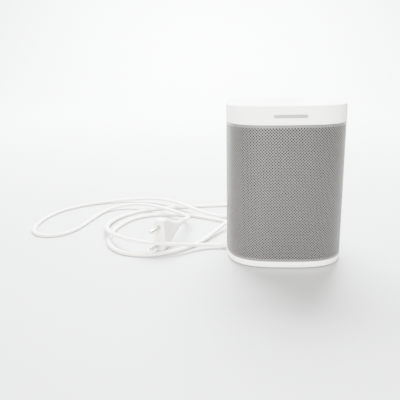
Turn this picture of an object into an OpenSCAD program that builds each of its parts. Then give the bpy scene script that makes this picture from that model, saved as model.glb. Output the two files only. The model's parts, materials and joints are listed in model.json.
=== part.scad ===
// Compact mains-powered wireless speaker with its lead and two-pin plug.
// Millimetres, +Z up, front towards -Y, origin at the bottom centre of the foot.

/* [Overall] */
// Width of the body
body_w = 119.7; // [112:0.1:150]
// Depth of the body
body_d = 119.7; // [112:0.1:150]
// Height from the foot to the top
body_h = 161.5; // [155:0.5:200]
// Power of the rounded-square outline, 2 is an ellipse
outline_power = 3.2; // [2.8:0.1:5]

/* [Outer shells] */
// Thickness of the rubber foot
foot_h = 1.5; // [1:0.1:3]
// How far the foot is set in from the side
foot_inset = 2.6; // [2:0.1:8]
// Width of the rubber foot's band
foot_w = 10.9; // [6:0.1:14]
// Height of the base ring
base_h = 6.5; // [6:0.5:9]
// How far the lower edge of the base ring is set in
base_step = 1.4; // [0.5:0.1:2]
// Height of the top cap
cap_h = 17.5; // [16:0.5:24]
// Side wall of the top cap
cap_wall = 2.4; // [1.6:0.1:3]
// Roof of the top cap
cap_roof = 2.6; // [2:0.1:3.2]
// Sheet thickness of the grille
grille_t = 0.9; // [0.6:0.1:1.2]
// Thickness of the cloth behind the grille
cloth_t = 0.4; // [0.2:0.1:0.6]
// Width of the strip at the back that closes the grille
strip_w = 40; // [36:1:48]
// Thickness of the back strip
strip_t = 2.5; // [1.6:0.1:3]

/* [Cabinet] */
// Gap between the grille and the cabinet
cabinet_gap = 1.8; // [1.5:0.1:3]
// Wall of the cabinet
cabinet_wall = 3; // [2.4:0.1:4]
// Thickness of the front baffle
baffle_t = 4; // [3:0.5:6]
// Distance from the front of the body to the baffle
baffle_set = 15.9; // [15.5:0.1:18]
// Clear height between the cabinet and the cap or base
cabinet_clear = 2; // [1:0.5:4]
// Thickness of the gasket between the cabinet halves
gasket_t = 1; // [0.6:0.1:2]

/* [Woofer] */
// Diameter of the woofer's mounting flange
woofer_d = 88; // [72:1:90]
// Width of the surround and rim outside the cone
woofer_rim = 13; // [12:0.5:16]
// Diameter of the voice coil former
coil_d = 25; // [20:1:28]
// Diameter of the magnet
magnet_d = 60; // [50:1:62]
// Height of the woofer's centre above the foot
woofer_z = 58; // [57:1:62]
// Cone travel each way
woofer_travel = 3; // [1:0.5:3]

/* [Tweeter] */
// Diameter of the tweeter's faceplate
tweeter_d = 31; // [28:1:33]
// Diameter of the dome
dome_d = 18; // [14:1:19]
// Dome travel each way
tweeter_travel = 0.3; // [0.1:0.1:0.4]

/* [Controls] */
// Length of the volume rocker
rocker_l = 38; // [28:1:44]
// Width of the volume rocker
rocker_w = 11; // [9:0.5:14]
// Length of the play and pause button
play_l = 17; // [14:0.5:22]
// Width of the play and pause button
play_w = 11; // [9:0.5:14]
// Clearance round each button
key_gap = 0.45; // [0.3:0.05:0.8]
// Travel of the play and pause button
play_travel = 0.6; // [0.3:0.1:0.8]

/* [Back connections] */
// Height of the network socket's centre
network_z = 31; // [28:1:40]
// Width of the network socket's mouth
network_w = 11.8; // [11.5:0.1:12.5]
// Height of the network socket's mouth
network_h = 8; // [7:0.1:9]
// Height of the wall-bracket thread
thread_z = 100; // [90:1:110]
// Major diameter of the wall-bracket thread
thread_d = 6.35; // [6:0.05:8]
// Depth of the wall-bracket thread
thread_l = 12; // [8:1:14]

/* [Power inlet] */
// Diameter of the recess for the power plug
inlet_d = 44; // [40:1:48]
// Height of the recess above the base plate
inlet_rise = 14; // [13:0.5:15]
// Width of the channel for the lead
channel_w = 9; // [7.5:0.5:12]

/* [Lead and mains plug] */
// Width of the flat lead
cord_w = 5.6; // [4.4:0.2:6.4]
// Thickness of the flat lead
cord_h = 3.8; // [3:0.2:4]
// Height of the plug's face
plug_h = 35.3; // [34:0.1:36]
// Thickness of the plug
plug_t = 13.7; // [12:0.1:14]
// Length of the plug's body
plug_l = 37; // [34:1:40]
// Diameter of the plug's pins
pin_d = 4; // [4:0.1:4.8]
// Length of the plug's pins
pin_l = 19; // [18:0.5:19.5]
// Distance between the plug's pins
pin_pitch = 19; // [18.6:0.1:19.2]

/* [Hidden] */

// ---- small named clearances
eps = 0.05;          // overrun of a cut past a face
fit = 0.2;           // clearance between pieces that are fitted together
run = 0.05;          // radial clearance of a pin that turns
skin = 0.3;          // gap between moving and still curved faces
outline_steps = 72;  // sides of a rounded-square outline
round_fn = 64;       // sides of round pieces
screw_fn = 24;       // sides of screws

// ---- levels
base_z = foot_h;
grille_z = base_z + base_h;
cap_z = body_h - cap_h;
cabinet_z = grille_z + cabinet_clear;
cabinet_top = cap_z - cabinet_clear;
cabinet_w = body_w - 2 * (grille_t + cabinet_gap);
cabinet_d = body_d - 2 * (grille_t + cabinet_gap);
baffle_y = -body_d / 2 + baffle_set;
split_y = baffle_y + 32;
roof_z = body_h - cap_roof;

// ---- helpers
function pow_sign(v, p) = v < 0 ? -pow(-v, p) : pow(v, p);
function outline(w, d) = [
  for (i = [0 : outline_steps - 1]) let (a = 360 * i / outline_steps)
    [w / 2 * pow_sign(cos(a), 2 / outline_power), d / 2 * pow_sign(sin(a), 2 / outline_power)]
];
// depth of an outline's face, from the middle, at a distance x to one side
function face_y(w, d, x) = d / 2 * pow(1 - pow(abs(x) / (w / 2), outline_power), 1 / outline_power);

module slab(w, d, z0, z1) translate([0, 0, z0]) linear_extrude(z1 - z0) polygon(outline(w, d));
// a round-ended bar lying along X
module pill(l, w, h) {
  for (s = [-1, 1]) translate([s * (l - w) / 2, 0, 0]) cylinder(d = w, h = h, $fn = 48);
  translate([-(l - w) / 2, -w / 2, 0]) cube([l - w, w, h]);
}
module block(w, d, h) translate([-w / 2, -d / 2, 0]) cube([w, d, h]);
// local +Z becomes the front direction, -Y
module facing_front(x, y, z) translate([x, y, z]) rotate([90, 0, 0]) children();
// local +Z becomes the back direction, +Y
module facing_back(x, y, z) translate([x, y, z]) rotate([-90, 0, 0]) children();
module ring(r_out, r_in, h) difference() {
  cylinder(r = r_out, h = h, $fn = round_fn);
  translate([0, 0, -eps]) cylinder(r = r_in, h = h + 2 * eps, $fn = round_fn);
}
module turned(profile, sides = round_fn) rotate_extrude($fn = sides) polygon(profile);
// pan-head screw, head down at z = 0 and shank upwards
module screw(d, l, head_d = 0, head_h = 1.6) {
  hd = head_d > 0 ? head_d : d * 1.9;
  translate([0, 0, -head_h]) difference() {
    cylinder(d = hd, h = head_h, $fn = screw_fn);
    for (a = [0, 90]) rotate([0, 0, a]) translate([-hd * 0.3, -d * 0.11, -eps])
      cube([hd * 0.6, d * 0.22, head_h * 0.55]);
  }
  cylinder(d = d, h = l, $fn = screw_fn);
}
module cylinder_hole(d, l) translate([0, 0, -eps]) cylinder(d = d, h = l + 2 * eps, $fn = screw_fn);

// ---- foot and base
channel_top = base_z + base_h - 1;     // roof of the lead's channel
inlet_wall = 2.4;                      // wall of the power recess
recess_top = cabinet_z + inlet_rise - cabinet_clear;
base_screw_x = 33;
base_screw_y = 33;
base_screw_d = 3;
base_screw_l = 9;

module channel_cut(z0, z1) translate([-body_w, -channel_w / 2, z0]) cube([body_w, channel_w, z1 - z0]);

module foot_pad() color("dimgray") difference() {
  slab(body_w - 2 * foot_inset, body_d - 2 * foot_inset, 0, foot_h);
  slab(body_w - 2 * (foot_inset + foot_w), body_d - 2 * (foot_inset + foot_w), -eps, foot_h + eps);
  channel_cut(-eps, foot_h + eps);
}

module base() color("whitesmoke") difference() {
  union() {
    slab(body_w - 2 * base_step, body_d - 2 * base_step, base_z, base_z + 2);
    slab(body_w, body_d, base_z + 2, grille_z);
  }
  // pocket in the upper side that leaves ribs, the channel roof and the screw bosses
  difference() {
    slab(body_w - 12, body_d - 12, base_z + 3, grille_z + eps);
    translate([0, 0, base_z]) cylinder(d = inlet_d + 8, h = base_h + 1, $fn = round_fn);
    translate([-body_w / 2, -channel_w / 2 - 3, base_z]) cube([body_w / 2, channel_w + 6, base_h + 1]);
    for (x = [-1, 1], y = [-1, 1]) translate([x * base_screw_x, y * base_screw_y, base_z])
      cylinder(d = 9, h = base_h + 1, $fn = 32);
  }
  channel_cut(base_z - eps, channel_top);
  translate([0, 0, base_z - eps]) cylinder(d = inlet_d, h = base_h + 2 * eps, $fn = round_fn);
  for (x = [-1, 1], y = [-1, 1]) translate([x * base_screw_x, y * base_screw_y, base_z]) {
    cylinder_hole(base_screw_d + 2 * fit, base_h);
    cylinder_hole(base_screw_d * 2.3, 2);
  }
}

module base_screws() color("silver")
  for (x = [-1, 1], y = [-1, 1]) translate([x * base_screw_x, y * base_screw_y, base_z + 2])
    screw(base_screw_d, base_screw_l);

// ---- grille and back strip
module strip_prism(w, z0, z1) translate([-w / 2, 0, z0]) cube([w, body_d, z1 - z0]);

module grille() color("silver") difference() {
  slab(body_w, body_d, grille_z, cap_z);
  slab(body_w - 2 * grille_t, body_d - 2 * grille_t, grille_z - eps, cap_z + eps);
  strip_prism(strip_w, grille_z - eps, cap_z + eps);
}

// acoustic cloth glued to the inside of the grille
module grille_cloth() color("black") difference() {
  slab(body_w - 2 * grille_t, body_d - 2 * grille_t, grille_z, cap_z);
  slab(body_w - 2 * (grille_t + cloth_t), body_d - 2 * (grille_t + cloth_t), grille_z - eps, cap_z + eps);
  strip_prism(strip_w, grille_z - eps, cap_z + eps);
}

module rear_panel() color("whitesmoke") difference() {
  intersection() {
    difference() {
      slab(body_w, body_d, grille_z, cap_z);
      slab(body_w - 2 * strip_t, body_d - 2 * strip_t, grille_z - eps, cap_z + eps);
    }
    strip_prism(strip_w - 2 * fit, grille_z, cap_z);
  }
  translate([-network_w / 2 - 2.5, 0, network_z - network_h / 2 - 3])
    cube([network_w + 5, body_d, network_h + 6]);
  facing_back(0, body_d / 2 - 6, thread_z) cylinder(d = insert_d + 2 * fit, h = 12, $fn = round_fn);
}

// ---- top cap and badge
badge_l = 32;
badge_h = 3.4;
badge_z = cap_z + 8;
badge_depth = 0.6;
badge_proud = 0.15;
rocker_y = 4;
play_y = -19;
lens_y = -34;
lens_d = 3;
boss_x = 36;
boss_y = 30;
cap_screw_d = 2.6;
board_z = cap_z + 4.5;       // underside of the button board
board_t = 1.6;

module badge_bar(l, h) intersection() {
  facing_front(0, -body_d / 2 + 4, badge_z) pill(l, h, 6);
  translate([-l, -body_d, badge_z - h]) cube([2 * l, body_d, 2 * h]);
}

module badge() color("silver") intersection() {
  badge_bar(badge_l, badge_h);
  difference() {
    slab(body_w + 2 * badge_proud, body_d + 2 * badge_proud, cap_z, body_h);
    slab(body_w - 2 * badge_depth, body_d - 2 * badge_depth, cap_z - eps, body_h + eps);
  }
}

module top_cap() color("whitesmoke") difference() {
  union() {
    difference() {
      slab(body_w, body_d, cap_z, body_h);
      slab(body_w - 2 * cap_wall, body_d - 2 * cap_wall, cap_z - eps, roof_z);
    }
    for (x = [-1, 1], y = [-1, 1]) translate([x * boss_x, y * boss_y, board_z + board_t])
      cylinder(d = 7, h = roof_z - board_z - board_t + 1, $fn = 32);
  }
  difference() {
    badge_bar(badge_l, badge_h);
    slab(body_w - 2 * badge_depth, body_d - 2 * badge_depth, cap_z - eps, body_h + eps);
  }
  translate([0, rocker_y, roof_z - 1]) pill(rocker_l + 2 * key_gap, rocker_w + 2 * key_gap, cap_roof + 2);
  translate([0, play_y, roof_z - 1]) pill(play_l + 2 * key_gap, play_w + 2 * key_gap, cap_roof + 2);
  translate([0, lens_y, roof_z - 1]) cylinder(d = lens_d + 2 * fit, h = cap_roof + 2, $fn = 32);
  for (x = [-1, 1], y = [-1, 1]) translate([x * boss_x, y * boss_y, board_z])
    cylinder(d = cap_screw_d, h = 8, $fn = screw_fn);
}

module cap_screws() color("silver")
  for (x = [-1, 1], y = [-1, 1]) translate([x * boss_x, y * boss_y, board_z]) screw(cap_screw_d, 8);

// ---- cabinet
insert_d = 10;
boss_wall = 3;
woofer_hole = woofer_d - 12;
tweeter_z = woofer_z + woofer_d / 2 + tweeter_d / 2 + 4.5;
tweeter_hole = tweeter_d - 4;
cabinet_screw_d = 3;
cabinet_head_d = 5.7;
head_room = 2;                         // depth of the room for a screw head beside the wall

module cabinet_solid(inset) intersection() {
  slab(cabinet_w - 2 * inset, cabinet_d - 2 * inset, cabinet_z + inset, cabinet_top - inset);
  translate([-body_w, baffle_y + (inset > 0 ? baffle_t : 0), 0]) cube([2 * body_w, body_d, body_h]);
}
module front_part() translate([-body_w, -body_d, 0]) cube([2 * body_w, body_d + split_y, body_h]);
module back_part() translate([-body_w, split_y + gasket_t, 0]) cube([2 * body_w, body_d, body_h]);
// corner blocks that the cabinet screws pass through
cabinet_screw_x = face_y(cabinet_d, cabinet_w, split_y) - 6.2;
cabinet_screw_z = [cabinet_z + 7, (cabinet_z + cabinet_top) / 2 + 28, cabinet_top - 7];
module at_cabinet_screws() for (x = [-1, 1], z = cabinet_screw_z)
  facing_front(x * cabinet_screw_x, split_y + 8, z) children();

// round hole for the power socket's cup, which closes the recess for the power plug
module cup_hole() translate([0, 0, cabinet_z - eps])
  cylinder(d = inlet_d + 2 * inlet_wall + 2 * fit, h = cabinet_wall + 2 * eps, $fn = round_fn);
module base_screw_holes() for (x = [-1, 1], y = [-1, 1])
  translate([x * base_screw_x, y * base_screw_y, grille_z]) cylinder_hole(base_screw_d, base_screw_l);
// feet down to the base and posts up to the button board, on one half of the cabinet
module support_posts(half) for (x = [-1, 1]) {
  translate([x * base_screw_x, half * base_screw_y, grille_z])
    cylinder(d = 9, h = cabinet_z - grille_z + cabinet_wall + 2, $fn = 32);
  translate([x * 26, half * 24, cabinet_top - cabinet_wall])
    cylinder(d = 7, h = board_z - cabinet_top + cabinet_wall, $fn = 32);
}

module cabinet_front() color("gray") difference() {
  union() {
    intersection() {
      difference() {
        cabinet_solid(0);
        cabinet_solid(cabinet_wall);
      }
      front_part();
    }
    intersection() {
      at_cabinet_screws() cylinder(d = 8, h = 20, $fn = 32);
      front_part();
      cabinet_solid(0.5);
    }
    support_posts(-1);
  }
  cup_hole();
  base_screw_holes();
  facing_front(0, baffle_y + baffle_t + 1, woofer_z) cylinder(d = woofer_hole, h = baffle_t + 2, $fn = 96);
  facing_front(0, baffle_y + baffle_t + 1, tweeter_z)
    cylinder(d = tweeter_hole, h = baffle_t + 2, $fn = round_fn);
  at_cabinet_screws() cylinder_hole(cabinet_screw_d, 20);
  at_woofer_screws() cylinder_hole(woofer_screw_d, 6);
  at_tweeter_screws() cylinder_hole(tweeter_screw_d, 6);
}

module cabinet_rear() color("gray") difference() {
  union() {
    intersection() {
      difference() {
        cabinet_solid(0);
        cabinet_solid(cabinet_wall);
      }
      back_part();
    }
    intersection() {
      at_cabinet_screws() translate([0, 0, -4]) cylinder(d = 8, h = 14, $fn = 32);
      back_part();
      cabinet_solid(0.5);
    }
    // boss behind the bracket insert
    facing_back(0, body_d / 2 - strip_t - fit - thread_l - 4, thread_z)
      cylinder(d = insert_d + 2 * boss_wall, h = thread_l + 4 - cabinet_gap, $fn = round_fn);
    intersection() {
      for (x = [-1, 1], z = main_screw_z) facing_back(x * main_screw_x, main_y + board_t, z)
        cylinder(d = 7, h = body_d / 2, $fn = 32);
      cabinet_solid(0.5);
    }
    support_posts(1);
  }
  cup_hole();
  base_screw_holes();
  for (x = [-1, 1], z = main_screw_z) facing_back(x * main_screw_x, main_y + board_t, z)
    cylinder_hole(main_screw_d, 8);
  // window for the network socket
  translate([-socket_w / 2 - fit, 0, network_z - socket_h / 2 - fit])
    cube([socket_w + 2 * fit, body_d, socket_h + 2 * fit]);
  facing_back(0, body_d / 2 - strip_t - thread_l, thread_z) cylinder(d = insert_d, h = 30, $fn = round_fn);
  at_cabinet_screws() {
    translate([0, 0, -4]) cylinder_hole(cabinet_screw_d, 14);
    translate([0, 0, -4 - head_room]) cylinder(d = cabinet_head_d + 2 * fit, h = head_room, $fn = 32);
  }
}

module cabinet_gasket() color("dimgray") intersection() {
  difference() {
    cabinet_solid(0.4);
    cabinet_solid(cabinet_wall - 0.4);
  }
  difference() {
    translate([-body_w, split_y, 0]) cube([2 * body_w, gasket_t, body_h]);
    cup_hole();
  }
}

module cabinet_screws() color("silver") for (x = [-1, 1], z = cabinet_screw_z)
  facing_front(x * cabinet_screw_x, split_y + 12, z) screw(cabinet_screw_d, 22, cabinet_head_d);

foam_t = 5;
module damping_foam() color("darkgray") intersection() {
  difference() {
    cabinet_solid(cabinet_wall);
    cabinet_solid(cabinet_wall + foam_t);
  }
  for (s = [-1, 1]) translate([s * cabinet_w / 2 - 15, split_y + 16, woofer_z + 20]) cube([30, 24, 46]);
}

// ---- woofer, turned about its own axis with +z to the front and z = 0 on the baffle
flange_r = woofer_d / 2;
cone_d = woofer_d - 2 * woofer_rim;
basket_r = woofer_hole / 2 - 1;
rear_r = magnet_d / 2 - 1;
roll_r = (cone_d / 2 + skin + basket_r + 1) / 2;
roll_w = 2.8;
roll_t = 0.5;
flange_t = 2.4;
top_plate_z = -21;
top_plate_t = 4;
magnet_t = 14;
yoke_t = 4;
pole_gap = 0.8;
ledge_z = top_plate_z + 6.9;
wave = 0.9;
coil_wound = 0.5;
woofer_screw_r = flange_r - 2.6;
woofer_screw_d = 3;
woofer_head_d = 4.6;
lip_r = woofer_screw_r - woofer_head_d / 2 - fit;
woofer_screws_n = 6;

module at_woofer() facing_front(0, baffle_y, woofer_z) children();
module at_woofer_screws() at_woofer() for (i = [0 : woofer_screws_n - 1])
  rotate([0, 0, 360 * i / woofer_screws_n]) translate([woofer_screw_r, 0, -5]) children();

module woofer_frame() color("black") at_woofer() difference() {
  union() {
    ring(flange_r, basket_r - 3, flange_t);
    turned([[basket_r, 0], [basket_r, -3], [rear_r + 1, top_plate_z + 4], [rear_r + 1, top_plate_z],
            [rear_r - 12, top_plate_z], [rear_r - 12, top_plate_z + 2.4], [rear_r - 1.6, top_plate_z + 2.4],
            [rear_r - 1.6, ledge_z], [rear_r, ledge_z], [basket_r - 2.4, -3], [basket_r - 2.4, 0.1]]);
  }
  // windows in the basket
  for (i = [0 : 5]) rotate([0, 0, 60 * i + 30]) translate([rear_r - 6, -8, -14]) cube([24, 16, 9]);
  for (i = [0 : woofer_screws_n - 1]) rotate([0, 0, 360 * i / woofer_screws_n])
    translate([woofer_screw_r, 0, 0]) cylinder_hole(woofer_screw_d + 2 * fit, 2.4);
}

module woofer_surround() color("black") at_woofer() turned([
  [cone_d / 2 + skin, 2.5], for (i = [0 : 12]) [roll_r - roll_w * cos(15 * i), 3 + roll_w * sin(15 * i)],
  [roll_r + roll_w, flange_t], [lip_r, flange_t], [lip_r, flange_t + roll_t],
  [roll_r + roll_w + roll_t, flange_t + roll_t],
  for (i = [12 : -1 : 0]) [roll_r - (roll_w + roll_t) * cos(15 * i), 3 + (roll_w + roll_t) * sin(15 * i)]
]);

module woofer_gasket() color("dimgray") at_woofer() difference() {
  turned([[lip_r, flange_t], [flange_r - 0.4, flange_t], [flange_r - 0.4, flange_t + 1.4],
          [lip_r - 0.9, flange_t + 1.4], [lip_r - 0.9, flange_t + roll_t], [lip_r, flange_t + roll_t]]);
  for (i = [0 : woofer_screws_n - 1]) rotate([0, 0, 360 * i / woofer_screws_n])
    translate([woofer_screw_r, 0, flange_t]) cylinder_hole(woofer_head_d + fit, 2);
}

module woofer_screws() color("silver") at_woofer() for (i = [0 : woofer_screws_n - 1])
  rotate([0, 0, 360 * i / woofer_screws_n]) translate([woofer_screw_r, 0, flange_t])
    rotate([180, 0, 0]) screw(woofer_screw_d, 8, woofer_head_d);

spider_r0 = coil_d / 2 + 0.3 + coil_wound + skin;
spider_step = (rear_r - 1.9 - spider_r0) / 12;
module woofer_spider() color("peru") at_woofer() turned([
  for (i = [0 : 12]) [spider_r0 + i * spider_step, ledge_z - wave + wave * cos(90 * i)],
  [rear_r - 0.1, ledge_z], [rear_r - 0.1, ledge_z + 0.4],
  for (i = [12 : -1 : 0]) [spider_r0 + i * spider_step, ledge_z + 0.4 - wave + wave * cos(90 * i)]
]);

module woofer_top_plate() color("gray") at_woofer()
  translate([0, 0, top_plate_z - top_plate_t]) ring(rear_r - 1, coil_d / 2 + 0.9 + pole_gap, top_plate_t);
module woofer_magnet() color("dimgray") at_woofer()
  translate([0, 0, top_plate_z - top_plate_t - magnet_t]) ring(magnet_d / 2, coil_d / 2 + 5, magnet_t);
module woofer_yoke() color("gray") at_woofer() {
  translate([0, 0, top_plate_z - top_plate_t - magnet_t - yoke_t]) ring(rear_r - 1, 4, yoke_t);
  translate([0, 0, top_plate_z - top_plate_t - magnet_t]) ring(coil_d / 2 - pole_gap, 4, magnet_t + top_plate_t + 1);
}
module woofer_terminals() color("goldenrod") at_woofer() difference() {
  for (s = [-1, 1]) translate([rear_r - 2, s * 5 - 1.5, top_plate_z + 1]) cube([8, 3, 0.8]);
  translate([0, 0, top_plate_z]) cylinder(r = rear_r + 1, h = 3, $fn = round_fn);
}

former_r = coil_d / 2 + 0.3;
cone_back = -8.6;
cone_slope = (3.2 - cone_back) / (cone_d / 2 - 1.4 - former_r);
function cone_front(r) = cone_back + (r - former_r) * cone_slope;
module woofer_cone() color("darkslategray") at_woofer() turned([
  [cone_d / 2, 2.6], [former_r, cone_back - 0.8], [former_r, cone_back], [cone_d / 2 - 1.4, 3.2], [cone_d / 2, 3.2]
]);
cap_r = coil_d / 2 + 2.5;
module woofer_dust_cap() color("black") at_woofer() turned([
  for (i = [0 : 8]) [cap_r * sin(11.25 * i), cone_front(cap_r) + 5 * cos(11.25 * i)],
  for (i = [8 : -1 : 0]) [(cap_r - 0.5) * sin(11.25 * i), cone_front(cap_r - 0.5) + 4.6 * cos(11.25 * i)]
]);
module woofer_voice_coil() color("chocolate") at_woofer() {
  translate([0, 0, top_plate_z - 6]) ring(former_r, coil_d / 2, cone_back - top_plate_z + 6);
  translate([0, 0, top_plate_z - 6]) ring(former_r + coil_wound, coil_d / 2 + 0.2, 8);
}

// ---- tweeter, in the same way
tweeter_screw_d = 2.2;
tweeter_screw_r = tweeter_d / 2 + 1.2;
tweeter_plate_t = 0.4;
tweeter_cup_r = tweeter_hole / 2 - fit;
module at_tweeter() facing_front(0, baffle_y, tweeter_z) children();
module at_tweeter_screws() at_tweeter() for (i = [0 : 2]) rotate([0, 0, 120 * i + 30])
  translate([tweeter_screw_r, 0, -5]) children();
module tweeter_ears() for (i = [0 : 2]) rotate([0, 0, 120 * i + 30])
  translate([tweeter_screw_r, 0, 0]) cylinder(r = 2.8, h = 1.8, $fn = 32);

module tweeter_faceplate() color("black") at_tweeter() difference() {
  union() {
    turned([[dome_d / 2 + 3, -tweeter_plate_t], [tweeter_cup_r, -tweeter_plate_t], [tweeter_cup_r, 0], [tweeter_d / 2, 0], [tweeter_d / 2, 1.8], [tweeter_d / 2 - 1.4, 2.6],
            [dome_d / 2 + 4.6, 2.6], [dome_d / 2 + 3, 1.4]]);
    tweeter_ears();
  }
  for (i = [0 : 2]) rotate([0, 0, 120 * i + 30]) translate([tweeter_screw_r, 0, 0])
    {
      cylinder_hole(tweeter_screw_d + 2 * fit, 2);
      translate([0, 0, 1.8]) cylinder(d = tweeter_screw_d * 1.9 + fit, h = 2, $fn = screw_fn);
    }
}
module tweeter_screws() color("silver") at_tweeter() for (i = [0 : 2]) rotate([0, 0, 120 * i + 30])
  translate([tweeter_screw_r, 0, 1.8]) rotate([180, 0, 0]) screw(tweeter_screw_d, 6.4);
half_roll = 1.3;
module tweeter_surround() color("darkgray") at_tweeter() turned([
  for (i = [0 : 6]) [dome_d / 2 + skin + half_roll - half_roll * cos(30 * i), half_roll * sin(30 * i)],
  [dome_d / 2 + skin + 2 * half_roll, -tweeter_plate_t], [dome_d / 2 + skin, -tweeter_plate_t]
]);
module tweeter_magnet() color("gray") at_tweeter() difference() {
  translate([0, 0, -13]) cylinder(r = tweeter_cup_r, h = 13 - tweeter_plate_t, $fn = round_fn);
  translate([0, 0, -6]) ring(dome_d / 2 + 1, dome_d / 2 - 1.1, 6);
}
module tweeter_dome() color("silver") at_tweeter() turned([
  for (i = [0 : 8]) [dome_d / 2 * sin(11.25 * i), 4.2 * cos(11.25 * i)],
  for (i = [8 : -1 : 0]) [(dome_d / 2 - 0.3) * sin(11.25 * i), 3.8 * cos(11.25 * i)]
]);
module tweeter_voice_coil() color("chocolate") at_tweeter()
  translate([0, 0, -3.6]) ring(dome_d / 2, dome_d / 2 - 0.3, 3.6);

// ---- controls under the cap
pivot_d = 1.6;
pivot_z = roof_z - 1.6;
key_top = body_h - 0.3;
rocker_foot = pivot_z - 1.4;
carrier_z = board_z + board_t;
ear_t = 2;
ear_gap = 0.4;
rocker_hub_l = rocker_w - 2 * ear_t;
switch_x = rocker_l / 2 - 6;
switch_h = 2.2;
switch_gap = 0.7;
plunger_d = 3;
stem_d = 3.4;

module volume_rocker() color("whitesmoke") translate([0, rocker_y, 0]) {
  difference() {
    union() {
      translate([0, 0, roof_z - 0.4]) pill(rocker_l, rocker_w, key_top - roof_z + 0.4);
      for (s = [-1, 1]) translate([s * switch_x, 0, carrier_z + switch_h + switch_gap])
        cylinder(d = stem_d, h = roof_z - carrier_z - switch_h - switch_gap, $fn = 32);
      translate([-2.6, -rocker_hub_l / 2, rocker_foot]) cube([5.2, rocker_hub_l, roof_z - rocker_foot]);
    }
    facing_front(0, rocker_w, pivot_z) cylinder(d = pivot_d, h = 2 * rocker_w, $fn = 32);
  }
}
module rocker_pin() color("silver")
  facing_front(0, rocker_y + rocker_hub_l / 2 + ear_gap + ear_t, pivot_z)
    cylinder(d = pivot_d, h = rocker_hub_l + 2 * (ear_gap + ear_t), $fn = 32);

module play_pause_button() color("whitesmoke") translate([0, play_y, 0]) {
  translate([0, 0, roof_z - 1.2]) pill(play_l, play_w, key_top - roof_z + 1.2);
  translate([0, 0, carrier_z + switch_h + play_travel + 0.2])
    cylinder(d = stem_d, h = roof_z - 1.2 - carrier_z - switch_h - play_travel - 0.2 + eps, $fn = 32);
}

module button_carrier() color("dimgray") difference() {
  union() {
    for (s = [-1, 1]) translate([0, rocker_y + s * (rocker_hub_l / 2 + ear_gap + ear_t / 2), carrier_z])
      block(6, ear_t, pivot_z - carrier_z + 0.9);
    difference() {
      translate([0, (rocker_y + play_y) / 2 + 2, carrier_z]) block(52, 44, 1.4);
      for (s = [-1, 1]) translate([s * switch_x, rocker_y, carrier_z - eps]) block(7.4, 7.4, 2);
      translate([0, play_y, carrier_z - eps]) block(7.4, 7.4, 2);
    }
  }
  facing_front(0, rocker_y + rocker_w, pivot_z) cylinder(d = pivot_d + 2 * run, h = 2 * rocker_w, $fn = 32);
}

module button_board() color("darkgreen") difference() {
  translate([0, 0, board_z]) block(2 * boss_x + 9, 2 * boss_y + 18, board_t);
  for (x = [-1, 1], y = [-1, 1]) translate([x * boss_x, y * boss_y, board_z])
    cylinder_hole(cap_screw_d + 2 * fit, board_t);
}
module tactile_switches() color("silver")
  for (p = [[-switch_x, rocker_y], [switch_x, rocker_y], [0, play_y]]) translate([p[0], p[1], carrier_z]) {
    block(6, 6, switch_h - 0.7);
    cylinder(d = plunger_d, h = switch_h, $fn = screw_fn);
  }
module status_led() color("white") translate([0, lens_y, carrier_z]) block(2, 1.4, 0.8);
module status_light_lens() color("white") translate([0, lens_y, carrier_z + 1]) {
  cylinder(d = lens_d, h = body_h - 0.2 - carrier_z - 1, $fn = 32);
  cylinder(d = lens_d + 2, h = roof_z - carrier_z - 1, $fn = 32);
}

// ---- electronics behind the woofer
socket_w = 16;
socket_h = 13.6;
main_y = 33;
main_w = 70;
main_z = 25;
main_h = 83;
power_z = recess_top + inlet_wall + 1.6;
power_y = -4.5;
main_screw_d = 2.6;
main_screw_x = main_w / 2 - 4;
main_screw_z = [main_z + 4, main_z + main_h - 4];

module main_board() color("darkgreen") difference() {
  translate([-main_w / 2, main_y, main_z]) cube([main_w, board_t, main_h]);
  for (x = [-1, 1], z = main_screw_z) facing_front(x * main_screw_x, main_y + board_t, z) cylinder_hole(main_screw_d + fit, board_t);
}
module main_board_chips() color("black") {
  for (c = [[-20, 66, 14, 14], [-2, 80, 12, 10], [-22, 90, 9, 9], [2, 56, 8, 6], [-8, 92, 6, 6]])
    translate([c[0], main_y - 1.2, c[1]]) cube([c[2], 1.2, c[3]]);
}
module heat_sink() color("silver") {
  translate([12, main_y - 2, 58]) cube([20, 2, 34]);
  for (i = [0 : 6]) translate([12 + i * 3.1, main_y - 9, 58]) cube([1.4, 7.5, 34]);
}
module antennas() color("goldenrod") for (s = [-1, 1])
  translate([s * 25 - 10, 10, cabinet_top - cabinet_wall - 3]) {
    cube([20, 14, 1]);
    translate([8.5, 5.5, 1]) cube([3, 3, 2]);
  }
module board_screws() color("silver") {
  for (x = [-1, 1], z = main_screw_z) facing_back(x * main_screw_x, main_y, z) screw(main_screw_d, 8);
}
module power_board() color("darkgreen") translate([-34, power_y, power_z]) cube([68, 30, board_t]);
module transformer() color("goldenrod") translate([-30, power_y + 7, power_z + board_t]) {
  difference() {
    cube([24, 19, 16]);
    translate([5, -1, 4]) cube([14, 21, 2]);
  }
  translate([6, -2, 5]) cube([12, 23, 7]);
}
module capacitors() color("black") {
  for (x = [4, 18]) translate([x, power_y + 16, power_z + board_t]) cylinder(d = 12, h = 18, $fn = 32);
  for (y = [10, 20]) translate([29, power_y + y, power_z + board_t]) cylinder(d = 6, h = 9, $fn = 24);
}

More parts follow.
